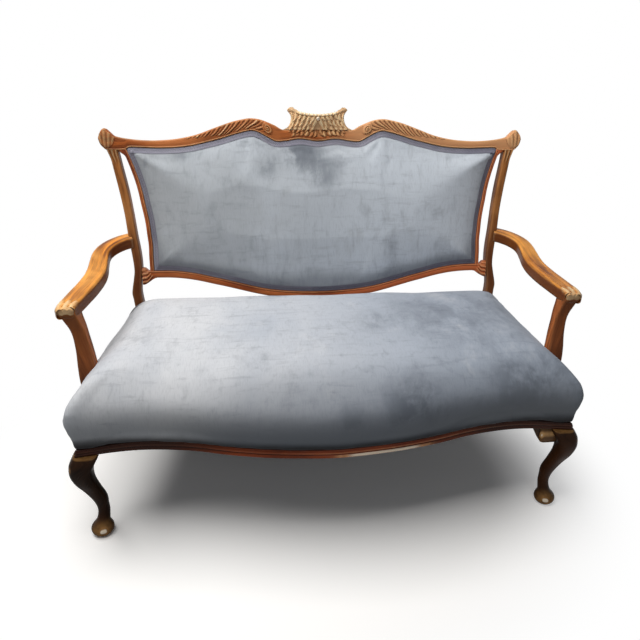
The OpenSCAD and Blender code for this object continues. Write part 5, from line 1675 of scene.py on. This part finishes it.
def floor_finish():
    """Pale floor that keeps the settee's shadow near it and runs out to plain white."""
    finish, tree, shader = new_material("pale floor")
    feed(tree, shader, {"Base Color": (0.6, 0.6, 0.6, 1), "Roughness": 0.9})
    bright = add_node(tree, "ShaderNodeBsdfDiffuse", {"Color": (1.2, 1.2, 1.2, 1)})
    path = add_node(tree, "ShaderNodeLightPath")
    near = add_node(tree, "ShaderNodeMixShader", {0: path.outputs["Is Camera Ray"],
                    1: shader.outputs[0], 2: bright.outputs[0]})
    # The white is centred off to the left and towards the front, so it paints light over the
    # shadow beside the right-hand end.
    where = place(tree, "Object", (1, 1.35, 1), location=(0.1, 0.16, 0))
    far = add_node(tree, "ShaderNodeVectorMath", {0: where}, operation="LENGTH").outputs["Value"]
    white = seen_white(tree, near.outputs[0], span(tree, far, 0.56, 1.0))
    tree.links.new(white.outputs[0], tree.nodes["Material Output"].inputs[0])
    return finish


def make_stage():
    stage = bpy.context.scene.settee_stage
    scene = bpy.context.scene
    scene.view_settings.view_transform = "Standard"
    clear_selection()
    bpy.ops.mesh.primitive_plane_add(size=14, location=(0, 0, 0))
    floor = bpy.context.object
    floor.name = "studio_floor"
    floor.data.materials.append(floor_finish())
    world = bpy.data.worlds.new("Soft room")
    scene.world = world
    world.use_nodes = True
    tree = world.node_tree
    room = tree.nodes["Background"]
    feed(tree, room, {0: (0.97, 0.98, 1.0, 1), 1: stage.ambient})
    tree.links.new(seen_white(tree, room.outputs[0], 1.0).outputs[0],
                   tree.nodes["World Output"].inputs[0])
    add_lamp("key lamp", (-0.9, -0.1, 2.9), (0, 0, 0.4), 2.2, stage.key_power, (1.0, 0.98, 0.95))
    add_lamp("fill lamp", (0.5, -2.6, 1.6), (0, 0, 0.5), 1.6, stage.fill_power,
             (0.96, 0.98, 1.0))
    clear_selection()
    bpy.ops.object.camera_add(location=CAMERA_PLACE)
    camera = bpy.context.object
    camera.name = "camera"
    yaw, pitch, roll = stage.yaw, stage.pitch, stage.roll
    ahead = Vector((math.sin(yaw) * math.cos(pitch), math.cos(yaw) * math.cos(pitch),
                    -math.sin(pitch)))
    right = Vector((math.cos(yaw), -math.sin(yaw), 0))
    up = right.cross(ahead)
    across = right * math.cos(roll) + up * math.sin(roll)
    above = -right * math.sin(roll) + up * math.cos(roll)
    turn = Matrix((across, above, -ahead)).transposed().to_4x4()
    camera.matrix_world = Matrix.Translation(CAMERA_PLACE) @ turn
    camera.data.sensor_width = 36.0
    camera.data.lens = stage.lens
    camera.data.shift_x, camera.data.shift_y = CAMERA_SHIFT
    camera.data.clip_start = 0.05
    scene.camera = camera


# ---------------------------------------------------------------- settings

TONE = {"subtype": "COLOR", "min": 0, "max": 1}
LENGTH = {"unit": "LENGTH", "subtype": "DISTANCE"}
TURN = {"unit": "ROTATION", "subtype": "ANGLE"}


class SetteeWood(bpy.types.PropertyGroup):
    """Varnish and carving of the show-wood frame."""
    crest_colour: FloatVectorProperty(
        name="Crest varnish", description="Orange-brown varnish of the crest rail and the back",
        **TONE, default=linear(182, 98, 46))
    dark_colour: FloatVectorProperty(
        name="Leg varnish", description="Dark varnish of the cabriole legs",
        **TONE, default=linear(46, 28, 16))
    # This tone also paints the highlights on the carving.
    rubbed_colour: FloatVectorProperty(
        name="Rubbed edges", description="Pale colour of the high points of the carving",
        **TONE, default=linear(240, 212, 164))
    carving_depth: FloatProperty(
        name="Carving depth", description="How far the leaves stand off the face of the crest",
        default=0.0036, min=0.0005, max=0.006, **LENGTH)


class SetteeCloth(bpy.types.PropertyGroup):
    """Velvet and stuffing of the seat and the back."""
    light_pile: FloatVectorProperty(
        name="Light pile", description="Velvet where its nap catches the light",
        **TONE, default=linear(214, 216, 220))
    mid_pile: FloatVectorProperty(
        name="Middle pile", description="Velvet in an even light",
        **TONE, default=linear(158, 168, 183))
    # This tone is also the painted shade on the front of the seat.
    dark_pile: FloatVectorProperty(
        name="Dark pile", description="Velvet where its nap lies away from the light",
        **TONE, default=linear(88, 95, 106))
    pressure: FloatProperty(
        name="Stuffing pressure", description="How hard the stuffing pushes the velvet out",
        default=4.0, min=0, max=12)
    seat_swell: FloatProperty(
        name="Seat swell", description="Most that the seat may swell from its loft",
        default=0.006, min=0, max=0.02, **LENGTH)
    back_swell: FloatProperty(
        name="Back swell", description="Most that the inside back may swell from its loft",
        default=0.005, min=0, max=0.02, **LENGTH)
    seat_mesh: FloatProperty(
        name="Seat mesh", description="Width of a face of the seat before it is subdivided",
        default=0.0095, min=0.005, max=0.03, **LENGTH)
    back_mesh: FloatProperty(
        name="Back mesh", description="Width of a face of the inside back before subdivision",
        default=0.0065, min=0.004, max=0.03, **LENGTH)


class SetteeStage(bpy.types.PropertyGroup):
    """Camera and lamps."""
    lens: FloatProperty(
        name="Lens", description="Focal length in millimetres", default=33.733, min=10, max=120)
    yaw: FloatProperty(
        name="Yaw", description="Turn of the camera to the right", default=0.130804,
        **TURN)
    pitch: FloatProperty(
        name="Pitch", description="Tilt of the camera downwards", default=0.462682,
        **TURN)
    roll: FloatProperty(
        name="Roll", description="Turn of the camera about its own line of sight",
        default=0.0288825, **TURN)
    ambient: FloatProperty(
        name="Room light", description="Strength of the even light from all round",
        default=0.08, min=0, max=2)
    key_power: FloatProperty(
        name="Key lamp", description="Power of the large lamp above and to the left, in watts",
        default=84.0, min=0, max=500)
    fill_power: FloatProperty(
        name="Fill lamp", description="Power of the weak lamp in front, in watts",
        default=6.0, min=0, max=500)


# ---------------------------------------------------------------- operators


class SETTEE_OT_crest(bpy.types.Operator):
    """Carved crest rail"""
    bl_idname = "settee.crest"
    bl_label = "Crest rail"

    def execute(self, context):
        finish(make_crest(), 50, 2, "show_wood", "crest", "crest_rail")
        return {"FINISHED"}


class SETTEE_OT_cartouche(bpy.types.Operator):
    """Leaf-carved cartouche on the middle of the crest"""
    bl_idname = "settee.cartouche"
    bl_label = "Cartouche"

    def execute(self, context):
        finish(make_cartouche(), 60, 1, "carved_wood", "carved", "crest_cartouche")
        return {"FINISHED"}


class SETTEE_OT_back_frame(bpy.types.Operator):
    """Posts, stiles and lower rail of the back, with their corner brackets"""
    bl_idname = "settee.back_frame"
    bl_label = "Back frame"

    def execute(self, context):
        finish_pair(make_post(), 45, 3, "show_wood", "post", "right_back_post")
        for side, name in ((1, "left_back_stile"), (-1, "right_back_stile")):
            finish(make_stile(side), 50, 3, "show_wood", "red", name)
        finish(make_lower_rail(), 50, 3, "show_wood", "red", "lower_back_rail")
        finish(make_rail_brackets(), 60, 1, "carved_wood", "red", "lower_rail_brackets")
        dress(("arm_screw_plugs",), "post")
        return {"FINISHED"}


class SETTEE_OT_arms(bpy.types.Operator):
    """Scrolled open arms on their curved supports"""
    bl_idname = "settee.arms"
    bl_label = "Arms"

    def execute(self, context):
        finish_pair(make_arm(), 50, 3, "arm_wood", "arm", "right_arm")
        finish_pair(make_support(), 50, 3, "arm_wood", "support", "right_arm_support")
        return {"FINISHED"}


class SETTEE_OT_mouldings(bpy.types.Operator):
    """Reeded mouldings under the seat"""
    bl_idname = "settee.mouldings"
    bl_label = "Mouldings"

    def execute(self, context):
        finish(make_front_moulding(), 35, 2, "leg_wood", "moulding", "front_moulding")
        finish_pair(make_side_moulding(), 35, 2, "leg_wood", "moulding", "right_side_moulding")
        return {"FINISHED"}


class SETTEE_OT_legs(bpy.types.Operator):
    """Cabriole legs on pad feet, and the knee bracket"""
    bl_idname = "settee.legs"
    bl_label = "Front legs"

    def execute(self, context):
        finish_pair(make_leg(), 50, 3, "leg_wood", "leg", "right_front_leg")
        finish(make_knee_bracket(), 60, 1, "leg_wood", "bracket", "knee_bracket")
        return {"FINISHED"}


class SETTEE_OT_seat(bpy.types.Operator):
    """Stuffed velvet seat"""
    bl_idname = "settee.seat"
    bl_label = "Seat"

    def execute(self, context):
        make_seat_cushion()
        return {"FINISHED"}


class SETTEE_OT_back_pad(bpy.types.Operator):
    """Stuffed velvet inside back"""
    bl_idname = "settee.back_pad"
    bl_label = "Inside back"

    def execute(self, context):
        make_back_pad()
        return {"FINISHED"}


class SETTEE_OT_braid(bpy.types.Operator):
    """Braid round the inside back"""
    bl_idname = "settee.braid"
    bl_label = "Braid"

    def execute(self, context):
        make_braid()
        return {"FINISHED"}


class SETTEE_OT_sheets(bpy.types.Operator):
    """Outside back and the lining under the seat"""
    bl_idname = "settee.sheets"
    bl_label = "Stretched sheets"

    def execute(self, context):
        make_outside_back()
        make_dust_sheet()
        return {"FINISHED"}


class SETTEE_OT_inner_frame(bpy.types.Operator):
    """Finishes of the rails, blocks, dowels, screws, springs and webbing inside"""
    bl_idname = "settee.inner_frame"
    bl_label = "Inner frame"

    def execute(self, context):
        dress(("front_seat_rail", "back_seat_rail", "left_side_rail", "right_side_rail",
               "corner_blocks", "rail_dowels", "crest_dowels", "arm_dowels"), "frame")
        dress(("corner_block_screws", "arm_screws", "seat_springs"), "steel")
        for node in ("seat_webbing", "seat_hessian", "back_webbing", "back_canvas"):
            piece = soft_copy(node, "inner_" + node, 0.001)
            settle(piece, "hessian", material("hessian"), node)
            if node != "seat_hessian":
                lay_flat(piece)
        return {"FINISHED"}


class SETTEE_OT_stage(bpy.types.Operator):
    """Pale floor, lamps and camera"""
    bl_idname = "settee.stage"
    bl_label = "Stage"

    def execute(self, context):
        make_stage()
        return {"FINISHED"}


OPERATORS = (SETTEE_OT_stage, SETTEE_OT_crest, SETTEE_OT_cartouche, SETTEE_OT_back_frame,
             SETTEE_OT_arms, SETTEE_OT_mouldings, SETTEE_OT_legs, SETTEE_OT_seat,
             SETTEE_OT_back_pad, SETTEE_OT_braid, SETTEE_OT_sheets, SETTEE_OT_inner_frame)


class SETTEE_PT_panel(bpy.types.Panel):
    """Pieces of the settee, in the order in which they are made"""
    bl_label = "Settee"
    bl_idname = "SETTEE_PT_panel"
    bl_space_type = "VIEW_3D"
    bl_region_type = "UI"
    bl_category = "Settee"

    def draw(self, context):
        for name in ("settee_wood", "settee_cloth", "settee_stage"):
            group = getattr(context.scene, name)
            box = self.layout.box()
            for key in group.__annotations__:
                box.prop(group, key)
        for made in OPERATORS:
            self.layout.operator(made.bl_idname)


GROUPS = (("settee_wood", SetteeWood), ("settee_cloth", SetteeCloth),
          ("settee_stage", SetteeStage))


def register():
    for name, group in GROUPS:
        bpy.utils.register_class(group)
        setattr(bpy.types.Scene, name, PointerProperty(type=group))
    for made in OPERATORS + (SETTEE_PT_panel,):
        bpy.utils.register_class(made)


def unregister():
    for made in reversed(OPERATORS + (SETTEE_PT_panel,)):
        bpy.utils.unregister_class(made)
    for name, group in reversed(GROUPS):
        delattr(bpy.types.Scene, name)
        bpy.utils.unregister_class(group)


def main():
    register()
    for made in OPERATORS:
        group, name = made.bl_idname.split(".")
        getattr(getattr(bpy.ops, group), name)()


if __name__ == "__main__":
    main()
